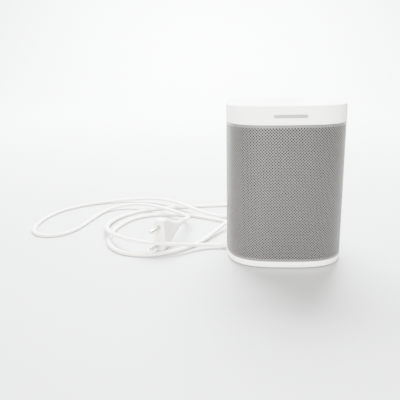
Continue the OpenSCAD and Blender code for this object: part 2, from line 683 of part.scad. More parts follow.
// ---- back connections
network_depth = 12;
socket_y = main_y + board_t;
socket_l = body_d / 2 - strip_t - fit / 2 - socket_y;
module network_socket() color("dimgray") difference() {
  translate([-socket_w / 2, socket_y, network_z - socket_h / 2]) cube([socket_w, socket_l, socket_h]);
  translate([-network_w / 2, body_d / 2 - strip_t - network_depth, network_z - network_h / 2])
    cube([network_w, 40, network_h]);
  translate([-3, body_d / 2 - strip_t - network_depth, network_z + network_h / 2 - eps]) cube([6, 40, 1.8]);
}
module bracket_insert() color("goldenrod") difference() {
  facing_back(0, body_d / 2 - strip_t - thread_l, thread_z) cylinder(d = insert_d, h = thread_l, $fn = round_fn);
  facing_back(0, body_d / 2 - strip_t - thread_l - 1, thread_z) cylinder(d = thread_d, h = thread_l + 2, $fn = round_fn);
}

// ---- power socket in its cup, over the recess
cup_r = inlet_d / 2 + inlet_wall;
contact_d = 2.4;
contact_x = 4.3;
module power_socket() color("dimgray") {
  difference() {
    union() {
      translate([0, 0, grille_z]) cylinder(r = cup_r, h = recess_top + inlet_wall - grille_z, $fn = round_fn);
      translate([0, 0, cabinet_z + cabinet_wall]) cylinder(r = cup_r + 3, h = 1.6, $fn = round_fn);
    }
    translate([0, 0, grille_z - eps]) cylinder(d = inlet_d, h = recess_top - grille_z + eps, $fn = round_fn);
  }
  for (s = [-1, 1]) translate([s * contact_x, 0, grille_z + 4])
    cylinder(d = contact_d, h = power_z - grille_z - 4, $fn = screw_fn);
}

// ---- plug in the recess, and the strain relief in the channel
inlet_plug_d = inlet_d - 1.6;
inlet_floor = 0.8;
lead_z = 3.4;                 // height of the lead where it leaves the base
relief_r0 = 3.3;
relief_r1 = 2.9;
relief_x0 = -inlet_plug_d / 2 + 1.2;
relief_x1 = -66;
module inlet_plug() color("whitesmoke") difference() {
  union() {
    translate([0, 0, inlet_floor + base_z - 1]) cylinder(d = inlet_plug_d, h = grille_z - base_z, $fn = round_fn);
    translate([0, 0, grille_z - 1]) block(22, 13, recess_top - grille_z - 0.6);
  }
  for (s = [-1, 1]) translate([s * contact_x, 0, grille_z + 2])
    cylinder(d = contact_d, h = recess_top - grille_z, $fn = screw_fn);
  // flat where the strain relief starts
  translate([-inlet_d, -channel_w / 2, 0]) cube([inlet_d + relief_x0, channel_w, channel_top]);
}
module inlet_strain_relief() color("whitesmoke") translate([relief_x0, 0, lead_z]) rotate([0, -90, 0])
  cylinder(r1 = relief_r0, r2 = relief_r1, h = relief_x0 - relief_x1, $fn = 32);

// ---- mains plug, standing on its narrow side, +X of its own frame along the pins
plug_pos = [-134, -9, 0];
plug_turn = -112;
plug_axis_z = plug_h / 2;
relief_l = 22;
plug_r = 3;
plug_relief_r0 = 4.2;
plug_relief_r1 = 2.9;
module at_plug() translate(plug_pos) rotate([0, 0, plug_turn]) children();

// flattened six-sided section of the plug, from local x = -l to 0
module plug_section(l) hull() {
  for (y = [-1, 1], z = [plug_r + 3, plug_h - plug_r - 3]) translate([-l, y * (plug_t / 2 - plug_r), z])
    rotate([0, 90, 0]) cylinder(r = plug_r, h = l, $fn = 32);
  for (z = [plug_r, plug_h - plug_r]) translate([-l, 0, z]) rotate([0, 90, 0]) cylinder(r = plug_r, h = l, $fn = 32);
}
module plug_body() color("whitesmoke") at_plug() {
  plug_section(9);
  hull() {
    translate([-9, 0, 0]) plug_section(eps);
    translate([-plug_l, 0, plug_axis_z]) rotate([0, 90, 0]) cylinder(r = 5.4, h = 0.5, $fn = 32);
  }
}
module plug_pins() color("silver") at_plug() for (s = [-1, 1])
  translate([0, 0, plug_axis_z + s * pin_pitch / 2]) rotate([0, 90, 0]) {
    cylinder(d = pin_d, h = pin_l - 1.2, $fn = 32);
    translate([0, 0, pin_l - 1.2]) cylinder(d1 = pin_d, d2 = pin_d - 1.4, h = 1.2, $fn = 32);
  }
module plug_strain_relief() color("whitesmoke") at_plug() translate([-plug_l, 0, plug_axis_z])
  rotate([0, -90, 0]) cylinder(r1 = plug_relief_r0, r2 = plug_relief_r1, h = relief_l, $fn = 32);

// ---- the lead: a flat two-core cord along a smooth curve steered by these points
floor_z = cord_h / 2 + 0.1;
over_z = floor_z + 8;
plug_end = plug_pos + (plug_l + relief_l) * [-cos(plug_turn), -sin(plug_turn), 0] + [0, 0, plug_axis_z];
route = [
  [relief_x1, 0, lead_z], [-90, 0, lead_z], [-128, -28, 15], [-168, -12, 13], [-204, 30, 9],
  [-217, 86, floor_z], [-184, 142, floor_z], [-124, 156, floor_z], [-76, 163, floor_z], [-34, 169, floor_z],
  [4, 145, 6], [-16, 98, 11], [-56, 80, 9], [-75, 42, 4], [-94, 0, floor_z],
  [-142, -34, floor_z], [-192, -16, floor_z], [-206, 50, floor_z], [-182, 118, floor_z], [-122, 126, floor_z],
  [-68, 94, floor_z], [-40, 76, floor_z], [-2, 60, floor_z], [37, 75, floor_z], [33, 118, floor_z],
  [-20, 123, floor_z], [-74, 98, floor_z], [-122, 146, over_z], [-162, 192, 6], [-236, 190, floor_z],
  [-298, 146, floor_z], [-309, 76, floor_z], [-295, 34, floor_z], [-256, 33, floor_z], [-241, 78, floor_z],
  [-234, 142, floor_z], [-194, 166, 6], [-150, 126, 11], [-104, 96, 6], plug_end
];
cord_sides = 10;
rings_per_span = 2;
function lead_points() = concat([2 * route[0] - route[1]], route, [2 * route[len(route) - 1] - route[len(route) - 2]]);
function spline_at(p, i, t) =
  (pow(1 - t, 3) * p[i] + (3 * pow(t, 3) - 6 * t * t + 4) * p[i + 1]
   + (-3 * pow(t, 3) + 3 * t * t + 3 * t + 1) * p[i + 2] + pow(t, 3) * p[i + 3]) / 6;
function lead_centre() = let (p = lead_points(), n = len(p) - 3) [
  for (i = [0 : n - 1], k = [0 : rings_per_span - 1]) spline_at(p, i, k / rings_per_span),
  spline_at(p, n - 1, 1)
];
function unit(v) = v / norm(v);
function lead_ring(c, i) = let (
    n = len(c),
    t = unit(c[min(i + 1, n - 1)] - c[max(i - 1, 0)]),
    side = unit(cross(t, [0, 0, 1])),
    up = cross(side, t))
  [for (k = [0 : cord_sides - 1]) let (a = 360 * k / cord_sides + 90)
    c[i] + side * cord_w / 2 * cos(a) + up * cord_h / 2 * sin(a)];
module mains_lead() color("whitesmoke") {
  c = lead_centre();
  n = len(c);
  pts = [for (i = [0 : n - 1]) each lead_ring(c, i)];
  walls = [for (i = [0 : n - 2], k = [0 : cord_sides - 1]) let (a = i * cord_sides, b = (k + 1) % cord_sides)
    each [[a + k, a + cord_sides + k, a + b], [a + b, a + cord_sides + k, a + cord_sides + b]]];
  first = [[for (k = [0 : cord_sides - 1]) k]];
  last = [[for (k = [cord_sides - 1 : -1 : 0]) (n - 1) * cord_sides + k]];
  polyhedron(pts, concat(first, walls, last), convexity = 10);
}

foot_pad();
base();
grille();
grille_cloth();
rear_panel();
top_cap();
badge();
cabinet_rear();
cabinet_front();
cabinet_gasket();
cabinet_screws();
damping_foam();
woofer_frame();
woofer_surround();
woofer_gasket();
woofer_screws();
woofer_spider();
woofer_top_plate();
woofer_magnet();
woofer_yoke();
woofer_terminals();
woofer_cone();
woofer_dust_cap();
woofer_voice_coil();
tweeter_faceplate();
tweeter_surround();
tweeter_magnet();
tweeter_screws();
tweeter_dome();
tweeter_voice_coil();
volume_rocker();
rocker_pin();
play_pause_button();
button_carrier();
button_board();
tactile_switches();
status_led();
status_light_lens();
cap_screws();
main_board();
main_board_chips();
heat_sink();
antennas();
board_screws();
power_board();
transformer();
capacitors();
network_socket();
bracket_insert();
power_socket();
base_screws();
inlet_plug();
inlet_strain_relief();
mains_lead();
plug_strain_relief();
plug_body();
plug_pins();
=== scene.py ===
"""Looks of a compact mains-powered speaker: shell, grille, keys, back connections, lead and plug."""

import json
import logging
import math
from dataclasses import dataclass, field
from enum import Enum
from typing import Callable, Iterable, Sequence, Union

import bmesh
import bpy
from mathutils import Matrix, Vector


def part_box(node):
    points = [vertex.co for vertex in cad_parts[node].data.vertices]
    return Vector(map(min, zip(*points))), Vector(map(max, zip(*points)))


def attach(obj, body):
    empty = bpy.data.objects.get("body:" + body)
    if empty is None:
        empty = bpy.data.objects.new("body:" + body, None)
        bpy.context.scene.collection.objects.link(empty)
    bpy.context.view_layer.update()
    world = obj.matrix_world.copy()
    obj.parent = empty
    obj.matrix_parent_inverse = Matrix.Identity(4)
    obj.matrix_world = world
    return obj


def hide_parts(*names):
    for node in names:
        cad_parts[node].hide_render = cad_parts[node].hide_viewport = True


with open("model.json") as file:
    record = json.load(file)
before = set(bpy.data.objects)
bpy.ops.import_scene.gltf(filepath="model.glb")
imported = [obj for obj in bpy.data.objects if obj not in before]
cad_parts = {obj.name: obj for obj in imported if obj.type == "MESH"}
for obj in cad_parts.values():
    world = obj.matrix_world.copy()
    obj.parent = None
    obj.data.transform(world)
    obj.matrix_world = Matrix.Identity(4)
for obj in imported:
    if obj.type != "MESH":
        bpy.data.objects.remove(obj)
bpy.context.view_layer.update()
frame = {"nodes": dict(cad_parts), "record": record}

logging.basicConfig(level=logging.INFO, format="%(message)s")
log = logging.getLogger("speaker")

MM = 0.001                      # metres in a millimetre
BODY_POWER = 3.2                # superellipse power of the body's outline
Point = tuple[float, float, float]
Flat = tuple[float, float]
Colour = tuple[float, float, float]
Number = Union[float, "Value"]


class Body(Enum):
    """The bodies that new pieces ride on."""

    SPEAKER = "speaker"
    VOLUME_KEY = "volume_key"
    PLAY_KEY = "play_key"


class Slot(Enum):
    """The material slots of the speaker."""

    SHELL = "shell_white"
    GRILLE = "grille_grey"
    CLOTH = "cloth_black"
    BADGE = "badge_grey"
    FOOT = "foot_rubber"
    CABINET = "cabinet_grey"
    SEAL = "seal_black"
    SCREW = "screw_steel"
    FOAM = "foam"
    BASKET = "basket_black"
    SPIDER = "spider_cloth"
    MOTOR = "motor_steel"
    FERRITE = "ferrite"
    CONTACT = "contact_brass"
    CONE = "cone_paper"
    COIL = "copper"
    DOME = "dome_cloth"
    BOARD = "board_green"
    CHIP = "chip_black"
    SWITCH = "switch_metal"
    LENS = "lens_clear"
    WINDING = "winding_yellow"
    SOCKET = "socket_black"
    LEAD = "lead_white"
    PIN = "pin_nickel"


# ------------------------------------------------------------------ shader expressions
class Value:
    """One shader socket that adds Math nodes when it is used in an expression."""

    def __init__(self, tree: "Tree", socket: bpy.types.NodeSocket) -> None:
        """Wraps one output socket of a tree."""
        self.tree, self.socket = tree, socket

    def _math(self, operation: str, first: Number, second: Number) -> "Value":
        """Adds one Math node.

        Args:
            operation: the node's operation.
            first: its first value or link.
            second: its second value or link.

        Returns:
            The node's result.
        """
        return self.tree.add("ShaderNodeMath", {"operation": operation}, {0: first, 1: second})

    def __add__(self, other: Number) -> "Value":
        """Sum."""
        return self._math("ADD", self, other)

    def __radd__(self, other: Number) -> "Value":
        """Sum, reflected."""
        return self._math("ADD", other, self)

    def __sub__(self, other: Number) -> "Value":
        """Difference."""
        return self._math("SUBTRACT", self, other)

    def __rsub__(self, other: Number) -> "Value":
        """Difference, reflected."""
        return self._math("SUBTRACT", other, self)

    def __mul__(self, other: Number) -> "Value":
        """Product."""
        return self._math("MULTIPLY", self, other)

    def __rmul__(self, other: Number) -> "Value":
        """Product, reflected."""
        return self._math("MULTIPLY", other, self)


class Tree:
    """A material's node tree with one way to add any node."""

    def __init__(self, name: str) -> None:
        """Starts an empty material of that name."""
        self.material = bpy.data.materials.new(name)
        self.material.use_nodes = True
        self.nodes = self.material.node_tree.nodes
        self.links = self.material.node_tree.links
        self.nodes.clear()
        self.place = self.add("ShaderNodeTexCoord", out="Object")

    def add(self, kind: str, settings: dict | None = None, inputs: dict | None = None,
            out: str | int = 0) -> Value:
        """Adds a node.

        Args:
            kind: the node's type.
            settings: properties set before its sockets, or "stops" for a ramp.
            inputs: socket name or number to a value or a link.
            out: the output to return.

        Returns:
            The chosen output, wrapped.
        """
        node = self.nodes.new(kind)
        for key, value in (settings or {}).items():
            if key == "stops":
                self._stops(node.color_ramp, value)
            else:
                setattr(node, key, value)
        for key, value in (inputs or {}).items():
            if isinstance(value, Value):
                self.links.new(value.socket, node.inputs[key])
            else:
                node.inputs[key].default_value = value
        return Value(self, node.outputs[out]) if node.outputs else Value(self, None)

    @staticmethod
    def _stops(ramp: bpy.types.ColorRamp, stops: Sequence[Flat]) -> None:
        """Sets a ramp's grey stops.

        Args:
            ramp: the ramp.
            stops: its stops as (position, grey).
        """
        while len(ramp.elements) < len(stops):
            ramp.elements.new(0.5)
        for element, (position, grey) in zip(ramp.elements, stops):
            element.position, element.color = position, (grey, grey, grey, 1.0)

    def noise(self, scale: float, detail: float = 2.0, rough: float = 0.5,
              stretch: Point = (1.0, 1.0, 1.0)) -> Value:
        """A noise field in the row frame.

        Args:
            scale: features per metre.
            detail: octaves.
            rough: how strong the finer octaves are.
            stretch: scale along each axis.

        Returns:
            The field, about 0 to 1.
        """
        where = self.place
        if stretch != (1.0, 1.0, 1.0):
            where = self.add("ShaderNodeMapping", None, {"Vector": self.place, "Scale": stretch})
        inputs = {"Vector": where, "Scale": scale, "Detail": detail, "Roughness": rough}
        return self.add("ShaderNodeTexNoise", None, inputs)

    def ramp(self, value: Value, stops: Sequence[Flat]) -> Value:
        """A value through a ramp of grey stops."""
        return self.add("ShaderNodeValToRGB", {"stops": stops}, {"Fac": value})

    def mix(self, factor: Number, first: Colour | Value, second: Colour | Value) -> Value:
        """Two colours mixed by a factor.

        Args:
            factor: 0 for the first colour, 1 for the second.
            first: a colour or a link.
            second: a colour or a link.

        Returns:
            The mixed colour.
        """
        one = (*first, 1.0) if not isinstance(first, Value) else first
        two = (*second, 1.0) if not isinstance(second, Value) else second
        return self.add("ShaderNodeMix", {"data_type": "RGBA"}, {0: factor, 6: one, 7: two}, out=2)

    def bump(self, height: Value, distance: float, strength: float = 1.0) -> Value:
        """A bump from a height field, in metres."""
        inputs = {"Height": height, "Distance": distance, "Strength": strength}
        return self.add("ShaderNodeBump", None, inputs)

    def finish(self, inputs: dict) -> bpy.types.Material:
        """Ends the tree in a Principled shader.

        Args:
            inputs: its socket names to values or links.

        Returns:
            The material.
        """
        shader = self.add("ShaderNodeBsdfPrincipled", None, inputs)
        self.add("ShaderNodeOutputMaterial", None, {"Surface": shader})
        return self.material


# ------------------------------------------------------------------ finishes
UNEVEN = 35.0                   # slow changes of colour, per metre
GLOSS_SPREAD = 0.12             # how much the roughness follows the grain


@dataclass(frozen=True)
class Finish:
    """A surface finish: colour, gloss and the fine relief that its process leaves."""

    name: str
    colour: Colour
    rough: float = 0.5
    metal: float = 0.0
    shade: float = 0.06
    grain: float = 1400.0
    depth: float = 0.00002
    coat: float = 0.0

    def material(self) -> bpy.types.Material:
        """The finish's material, made once."""
        return bpy.data.materials.get(self.name) or self.make(Tree(self.name))

    def darker(self, share: float) -> Colour:
        """The colour at a share of its brightness."""
        return tuple(c * share for c in self.colour)

    def tone(self, tree: Tree) -> Value:
        """The colour, slightly uneven over a few centimetres."""
        return tree.mix(tree.noise(UNEVEN, 3), self.darker(1 - self.shade), self.colour)

    def make(self, tree: Tree) -> bpy.types.Material:
        """Builds the material in a tree."""
        fine = tree.noise(self.grain, 3, 0.6)
        return tree.finish({
            "Base Color": self.tone(tree),
            "Roughness": self.rough + (fine - 0.5) * GLOSS_SPREAD,
            "Metallic": self.metal,
            "Coat Weight": self.coat,
            "Normal": tree.bump(fine, self.depth),
        })


class Moulded(Finish):
    """Spark-eroded moulded plastic: an even orange-peel grain."""

    PEEL = 6                    # the orange peel is this much coarser than the grain

    def make(self, tree: Tree) -> bpy.types.Material:
        """Builds the material in a tree."""
        fine, peel = tree.noise(self.grain, 2, 0.5), tree.noise(self.grain / self.PEEL, 2)
        return tree.finish({
            "Base Color": self.tone(tree),
            "Roughness": self.rough + (peel - 0.5) * 0.10 + (fine - 0.5) * 0.08,
            "Coat Weight": self.coat,
            "Normal": tree.bump(fine * 0.7 + peel * 0.3, self.depth),
        })


class Brushed(Finish):
    """Metal with fine parallel drawing or turning lines."""

    ALONG = (1.0, 1.0, 0.06)    # the lines run up and down
    STAIN = 120.0               # faint stains, per metre

    def make(self, tree: Tree) -> bpy.types.Material:
        """Builds the material in a tree."""
        lines = tree.noise(self.grain, 4, 0.7, self.ALONG)
        stain = tree.noise(self.STAIN, 4)
        return tree.finish({
            "Base Color": tree.mix(stain, self.darker(0.82), self.colour),
            "Roughness": self.rough + (lines - 0.5) * 0.2,
            "Metallic": self.metal,
            "Normal": tree.bump(lines, self.depth),
        })


class Woven(Finish):
    """Cloth of crossing threads."""

    def make(self, tree: Tree) -> bpy.types.Material:
        """Builds the material in a tree."""
        warp, weft = (
            tree.add("ShaderNodeTexWave", {"bands_direction": way},
                     {"Vector": tree.place, "Scale": self.grain})
            for way in ("X", "Z"))
        weave = warp * 0.5 + weft * 0.5
        return tree.finish({
            "Base Color": tree.mix(weave, self.darker(0.6), self.colour),
            "Roughness": self.rough,
            "Normal": tree.bump(weave, self.depth),
        })


class Cells(Finish):
    """Open-cell foam, pressed paper or sintered stone, with visible cells."""

    def make(self, tree: Tree) -> bpy.types.Material:
        """Builds the material in a tree."""
        cells = tree.add("ShaderNodeTexVoronoi", None, {"Vector": tree.place, "Scale": self.grain})
        return tree.finish({
            "Base Color": tree.mix(cells, self.darker(0.55), self.colour),
            "Roughness": self.rough,
            "Normal": tree.bump(cells, self.depth),
        })


class Circuit(Finish):
    """Printed circuit board: solder mask over copper tracks, with gilt pads."""

    PADS = 420.0                # pads per metre
    GILT = (0.75, 0.62, 0.35)

    def make(self, tree: Tree) -> bpy.types.Material:
        """Builds the material in a tree."""
        tracks = tree.add("ShaderNodeTexBrick", {"offset": 0.37, "squash": 0.6}, {
            "Vector": tree.place, "Color1": (0, 0, 0, 1), "Color2": (0, 0, 0, 1), "Mortar": (1, 1, 1, 1),
            "Scale": self.grain, "Mortar Size": 0.012, "Brick Width": 0.9, "Row Height": 0.35})
        pads = tree.add("ShaderNodeTexVoronoi", {"feature": "F1"},
                        {"Vector": tree.place, "Scale": self.PADS})
        dots = tree.ramp(pads, [(0.0, 1.0), (0.14, 1.0), (0.17, 0.0), (1.0, 0.0)])
        lighter = tuple(min(1.0, c * 2.2 + 0.02) for c in self.colour)
        base = tree.mix(tracks, self.colour, lighter)
        return tree.finish({
            "Base Color": tree.mix(dots, base, self.GILT),
            "Roughness": self.rough + dots * 0.1,
            "Metallic": dots * 0.8,
            "Normal": tree.bump(tracks, self.depth),
        })


WHITE = Moulded("shell_white", (0.84, 0.81, 0.70), 0.40, shade=0.02, grain=2600, depth=0.000012)
KEY_WHITE = Moulded("key_white", (0.82, 0.82, 0.80), 0.34, shade=0.02, grain=3200, depth=0.000008)
MARK_GREY = Finish("mark_grey", (0.10, 0.10, 0.10), 0.5, grain=2600, depth=0.000004)
SHEET = Finish("coated_sheet", (0.100, 0.0972, 0.0935), 0.32, 0.0, shade=0.03, grain=5200, depth=0.000010)
SCRIM = Woven("grille_scrim", (0.012, 0.012, 0.013), 0.9, grain=900, depth=0.00004)
BADGE = Finish("badge_satin", (0.24, 0.24, 0.235), 0.38, 0.25, shade=0.03, grain=5200, depth=0.000004)
RUBBER = Moulded("foot_rubber", (0.03, 0.03, 0.03), 0.72, shade=0.2, grain=1800, depth=0.00003)
CABINET = Moulded("cabinet_plastic", (0.035, 0.035, 0.037), 0.6, shade=0.1, grain=1500, depth=0.00003)
SEAL = Moulded("seal_rubber", (0.018, 0.018, 0.018), 0.65, shade=0.2, grain=2200, depth=0.00002)
SCREW = Brushed("screw_zinc", (0.62, 0.62, 0.6), 0.32, 1.0, grain=3000, depth=0.000006)
FOAM = Cells("damping_foam", (0.16, 0.16, 0.165), 0.95, grain=900, depth=0.0003)
BASKET = Moulded("basket_black", (0.02, 0.02, 0.021), 0.5, shade=0.15, grain=1300, depth=0.00003)
SPIDER = Woven("spider_cloth", (0.5, 0.33, 0.13), 0.85, grain=700, depth=0.00008)
MOTOR = Brushed("motor_steel", (0.5, 0.5, 0.51), 0.35, 1.0, grain=1600, depth=0.00001)
FERRITE = Cells("ferrite", (0.05, 0.05, 0.052), 0.6, grain=1800, depth=0.00002)
BRASS = Brushed("contact_brass", (0.72, 0.52, 0.24), 0.28, 1.0, grain=2600, depth=0.000005)
PAPER = Cells("cone_paper", (0.022, 0.022, 0.024), 0.62, grain=1400, depth=0.00006)
COPPER = Brushed("coil_copper", (0.72, 0.3, 0.14), 0.3, 1.0, grain=9000, depth=0.00002)
DOME = Woven("dome_cloth", (0.09, 0.09, 0.095), 0.6, grain=1500, depth=0.00003)
BOARD = Circuit("board_green", (0.008, 0.085, 0.03), 0.35, grain=160, depth=0.00002)
CHIP = Moulded("chip_black", (0.016, 0.016, 0.017), 0.5, shade=0.2, grain=2400, depth=0.00001)
SWITCH = Brushed("stamped_metal", (0.7, 0.7, 0.7), 0.35, 1.0, grain=2200, depth=0.000008)
LENS = Finish("lens_clear", (0.75, 0.78, 0.8), 0.15, shade=0.02, grain=500, depth=0.000002, coat=0.4)
TAPE = Finish("winding_tape", (0.62, 0.42, 0.03), 0.3, shade=0.15, grain=1200, depth=0.00003, coat=0.3)
SOCKET = Moulded("socket_black", (0.02, 0.02, 0.021), 0.48, shade=0.1, grain=1600, depth=0.00002)
VINYL = Moulded("lead_vinyl", (0.76, 0.74, 0.68), 0.36, shade=0.05, grain=1300, depth=0.00001)
PLUG_WHITE = Moulded("plug_white", (0.79, 0.76, 0.69), 0.36, shade=0.03, grain=1900, depth=0.00001)
SLEEVE = Moulded("sleeve_grey", (0.36, 0.35, 0.325), 0.45, shade=0.05, grain=1900, depth=0.00001)
NICKEL = Brushed("pin_nickel", (0.36, 0.345, 0.32), 0.34, 1.0, grain=3200, depth=0.000006)
STAGE = Finish("pale_floor", (0.40, 0.40, 0.397), 0.6, shade=0.01, grain=300, depth=0.000002)

SLOT_FINISH: dict[Slot, Finish] = {
    Slot.SHELL: WHITE, Slot.GRILLE: SHEET, Slot.CLOTH: SCRIM, Slot.BADGE: BADGE, Slot.FOOT: RUBBER,
    Slot.CABINET: CABINET, Slot.SEAL: SEAL, Slot.SCREW: SCREW, Slot.FOAM: FOAM, Slot.BASKET: BASKET,
    Slot.SPIDER: SPIDER, Slot.MOTOR: MOTOR, Slot.FERRITE: FERRITE, Slot.CONTACT: BRASS,
    Slot.CONE: PAPER, Slot.COIL: COPPER, Slot.DOME: DOME, Slot.BOARD: BOARD, Slot.CHIP: CHIP,
    Slot.SWITCH: SWITCH, Slot.LENS: LENS, Slot.WINDING: TAPE, Slot.SOCKET: SOCKET,
    Slot.LEAD: VINYL, Slot.PIN: NICKEL,
}


# ------------------------------------------------------------------ mesh tools
def superellipse(angle: float, half_x: float, half_y: float, power: float) -> Flat:
    """A point of a superellipse.

    Args:
        angle: which point, in radians, anticlockwise from +X.
        half_x: half its size along X.
        half_y: half its size along Y.
        power: 2 for an ellipse, more for a squarer one.

    Returns:
        The point.
    """
    c, s = math.cos(angle), math.sin(angle)
    return (math.copysign(abs(c) ** (2 / power), c) * half_x,
            math.copysign(abs(s) ** (2 / power), s) * half_y)


def outline(width: float, depth: float, count: int = 240) -> list[Flat]:
    """The body's rounded-square outline.

    Args:
        width: size along X, in millimetres.
        depth: size along Y.
        count: number of points.

    Returns:
        The points, anticlockwise from +X.
    """
    return [superellipse(2 * math.pi * i / count, width / 2, depth / 2, BODY_POWER) for i in range(count)]


def pill(length: float, width: float, count: int = 16) -> list[Flat]:
    """A round-ended bar's outline along X.

    Args:
        length: its length over the ends.
        width: its width.
        count: steps round each end.

    Returns:
        The points, anticlockwise.
    """
    half, r = (length - width) / 2, width / 2
    ends = []
    for side, start in ((1, -90), (-1, 90)):
        for k in range(count + 1):
            a = math.radians(start + 180 * k / count)
            ends.append((side * half + r * math.cos(a), r * math.sin(a)))
    return ends


def circle(radius: float, count: int = 32, y: float = 0.0) -> list[Flat]:
    """A circle's points round a middle on the Y axis, anticlockwise."""
    angles = [2 * math.pi * k / count for k in range(count)]
    return [(radius * math.cos(a), y + radius * math.sin(a)) for a in angles]


class Mesh:
    """A mesh being built in millimetres."""

    def __init__(self) -> None:
        """Starts empty."""
        self.verts: list[Point] = []
        self.faces: list[Sequence[int]] = []

    def ring(self, points: Iterable[Point]) -> list[int]:
        """Adds points and returns their numbers."""
        start = len(self.verts)
        self.verts.extend(points)
        return list(range(start, len(self.verts)))

    def level(self, flat: Iterable[Flat], z: float) -> list[int]:
        """Adds a flat outline at a height."""
        return self.ring((x, y, z) for x, y in flat)

    def skin(self, rings: Sequence[Sequence[int]], closed: bool = True) -> None:
        """Joins neighbouring rings with quads.

        Args:
            rings: equal-length rings.
            closed: whether each ring meets its own start.
        """
        for low, high in zip(rings, rings[1:]):
            n = len(low)
            for k in range(n if closed else n - 1):
                j = (k + 1) % n
                self.faces.append((low[k], low[j], high[j], high[k]))

    def turn_over(self, count: int | None = None) -> None:
        """Turns over the last faces, or all of them."""
        for k in range(1, (len(self.faces) if count is None else count) + 1):
            self.faces[-k] = tuple(reversed(self.faces[-k]))

    def cap(self, ring: Sequence[int], flip: bool = False) -> None:
        """Closes a ring with a fan round its middle.

        Args:
            ring: the ring.
            flip: face the other way.
        """
        middle = tuple(sum(self.verts[i][k] for i in ring) / len(ring) for k in range(3))
        centre = self.ring([middle])[0]
        for k in range(len(ring)):
            pair = (ring[k], ring[(k + 1) % len(ring)])
            self.faces.append((centre, *(reversed(pair) if flip else pair)))

    def plate(self, loops: Sequence[Sequence[int]], flip: bool = False) -> None:
        """Fills a flat face with holes.

        Args:
            loops: the outer loop and then its holes.
            flip: face down instead of up.
        """
        bm = bmesh.new()
        index: dict[bmesh.types.BMVert, int] = {}
        edges = []
        for loop in loops:
            made = [bm.verts.new(Vector(self.verts[i])) for i in loop]
            index.update(zip(made, loop))
            edges += [bm.edges.new((made[k], made[(k + 1) % len(made)])) for k in range(len(made))]
        filled = bmesh.ops.triangle_fill(bm, edges=edges, use_beauty=True)["geom"]
        for face in [g for g in filled if isinstance(g, bmesh.types.BMFace)]:
            face.normal_update()
            numbers = [index[v] for v in face.verts]
            up = face.normal.z > 0
            self.faces.append(tuple(numbers if up != flip else reversed(numbers)))
        bm.free()

    def turned(self, profile: Sequence[Flat], count: int = 48, place: Matrix | None = None) -> None:
        """Adds a body turned about Z.

        Args:
            profile: (radius, height) from one end to the other.
            count: sides.
            place: where it goes, in millimetres.
        """
        place = place or Matrix()
        rings = []
        for r, z in profile:
            ring = [place @ Vector((x, y, z)) for x, y in circle(max(r, 0.001), count)]
            rings.append(self.ring(tuple(p) for p in ring))
        self.skin(rings)
        self.cap(rings[0], flip=True)
        self.cap(rings[-1])

    def block(self, low: Point, high: Point, bevel: float = 0.0, place: Matrix | None = None) -> None:
        """Adds a box with its upright and top edges eased.

        Args:
            low: lowest corner.
            high: highest corner.
            bevel: size of the eased edge.
            place: where it goes.
        """
        place = place or Matrix()
        b = bevel
        rings = []
        for inset, z in ((b, low[2]), (0, low[2] + b), (0, high[2] - b), (b, high[2])):
            x0, x1, y0, y1 = low[0] + inset, high[0] - inset, low[1] + inset, high[1] - inset
            corners = [(x0 + b, y0), (x1 - b, y0), (x1, y0 + b), (x1, y1 - b),
                       (x1 - b, y1), (x0 + b, y1), (x0, y1 - b), (x0, y0 + b)]
            if b == 0:
                corners = [(x0, y0), (x1, y0), (x1, y1), (x0, y1)]
            rings.append(self.ring(tuple(place @ Vector((x, y, z))) for x, y in corners))
        if b == 0:
            rings = [rings[0], rings[-1]]
        self.skin(rings)
        self.faces.append(tuple(reversed(rings[0])))
        self.faces.append(tuple(rings[-1]))

    def object(self, name: str) -> bpy.types.Object:
        """Makes a plain object in metres and links it to the scene."""
        data = bpy.data.meshes.new(name)
        data.from_pydata([(x * MM, y * MM, z * MM) for x, y, z in self.verts], [], self.faces)
        made = bpy.data.objects.new(name, data)
        bpy.context.scene.collection.objects.link(made)
        return made

    def smooth(self, name: str, finish: Finish, sharp: float) -> bpy.types.Object:
        """Makes a smooth-shaded object with a finish.

        Args:
            name: the object's name.
            finish: its finish.
            sharp: edges steeper than this, in degrees, stay crisp.

        Returns:
            The object.
        """
        made = self.object(name)
        made.data.validate()
        made.data.polygons.foreach_set("use_smooth", [True] * len(made.data.polygons))
        made.data.set_sharp_from_angle(angle=math.radians(sharp))
        made.data.materials.append(finish.material())
        return made

    def piece(self, name: str, finish: Finish, slot: Slot, node: str = "",
              body: Body = Body.SPEAKER, sharp: float = 32.0) -> bpy.types.Object:
        """Makes a piece of the speaker, puts it on a body and logs it.

        Args:
            name: the piece's name.
            finish: its finish.
            slot: the material slot; not used.
            node: the CAD node that it stands for, if any.
            body: the body that it rides on.
            sharp: edges steeper than this, in degrees, stay crisp.

        Returns:
            The piece.
        """
        made = self.smooth(name, finish, sharp)
        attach(made, body.value)
        if node:
            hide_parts(node)
        log.info("%s: %d faces", name, len(made.data.polygons))
        return made


def cut(target: bpy.types.Object, tool: Mesh) -> None:
    """Cuts a closed tool shape out of an object.

    Args:
        target: the object to cut.
        tool: the shape removed.
    """
    cutter = tool.object("cutter")
    change = target.modifiers.new("cut", "BOOLEAN")
    change.operation, change.solver, change.object = "DIFFERENCE", "EXACT", cutter
    apply_modifiers(target)
    bpy.data.objects.remove(cutter)


def apply_modifiers(target: bpy.types.Object) -> None:
    """Bakes an object's modifiers into its mesh."""
    bpy.context.view_layer.update()
    graph = bpy.context.evaluated_depsgraph_get()
    data = bpy.data.meshes.new_from_object(target.evaluated_get(graph), depsgraph=graph)
    target.modifiers.clear()
    target.data = data


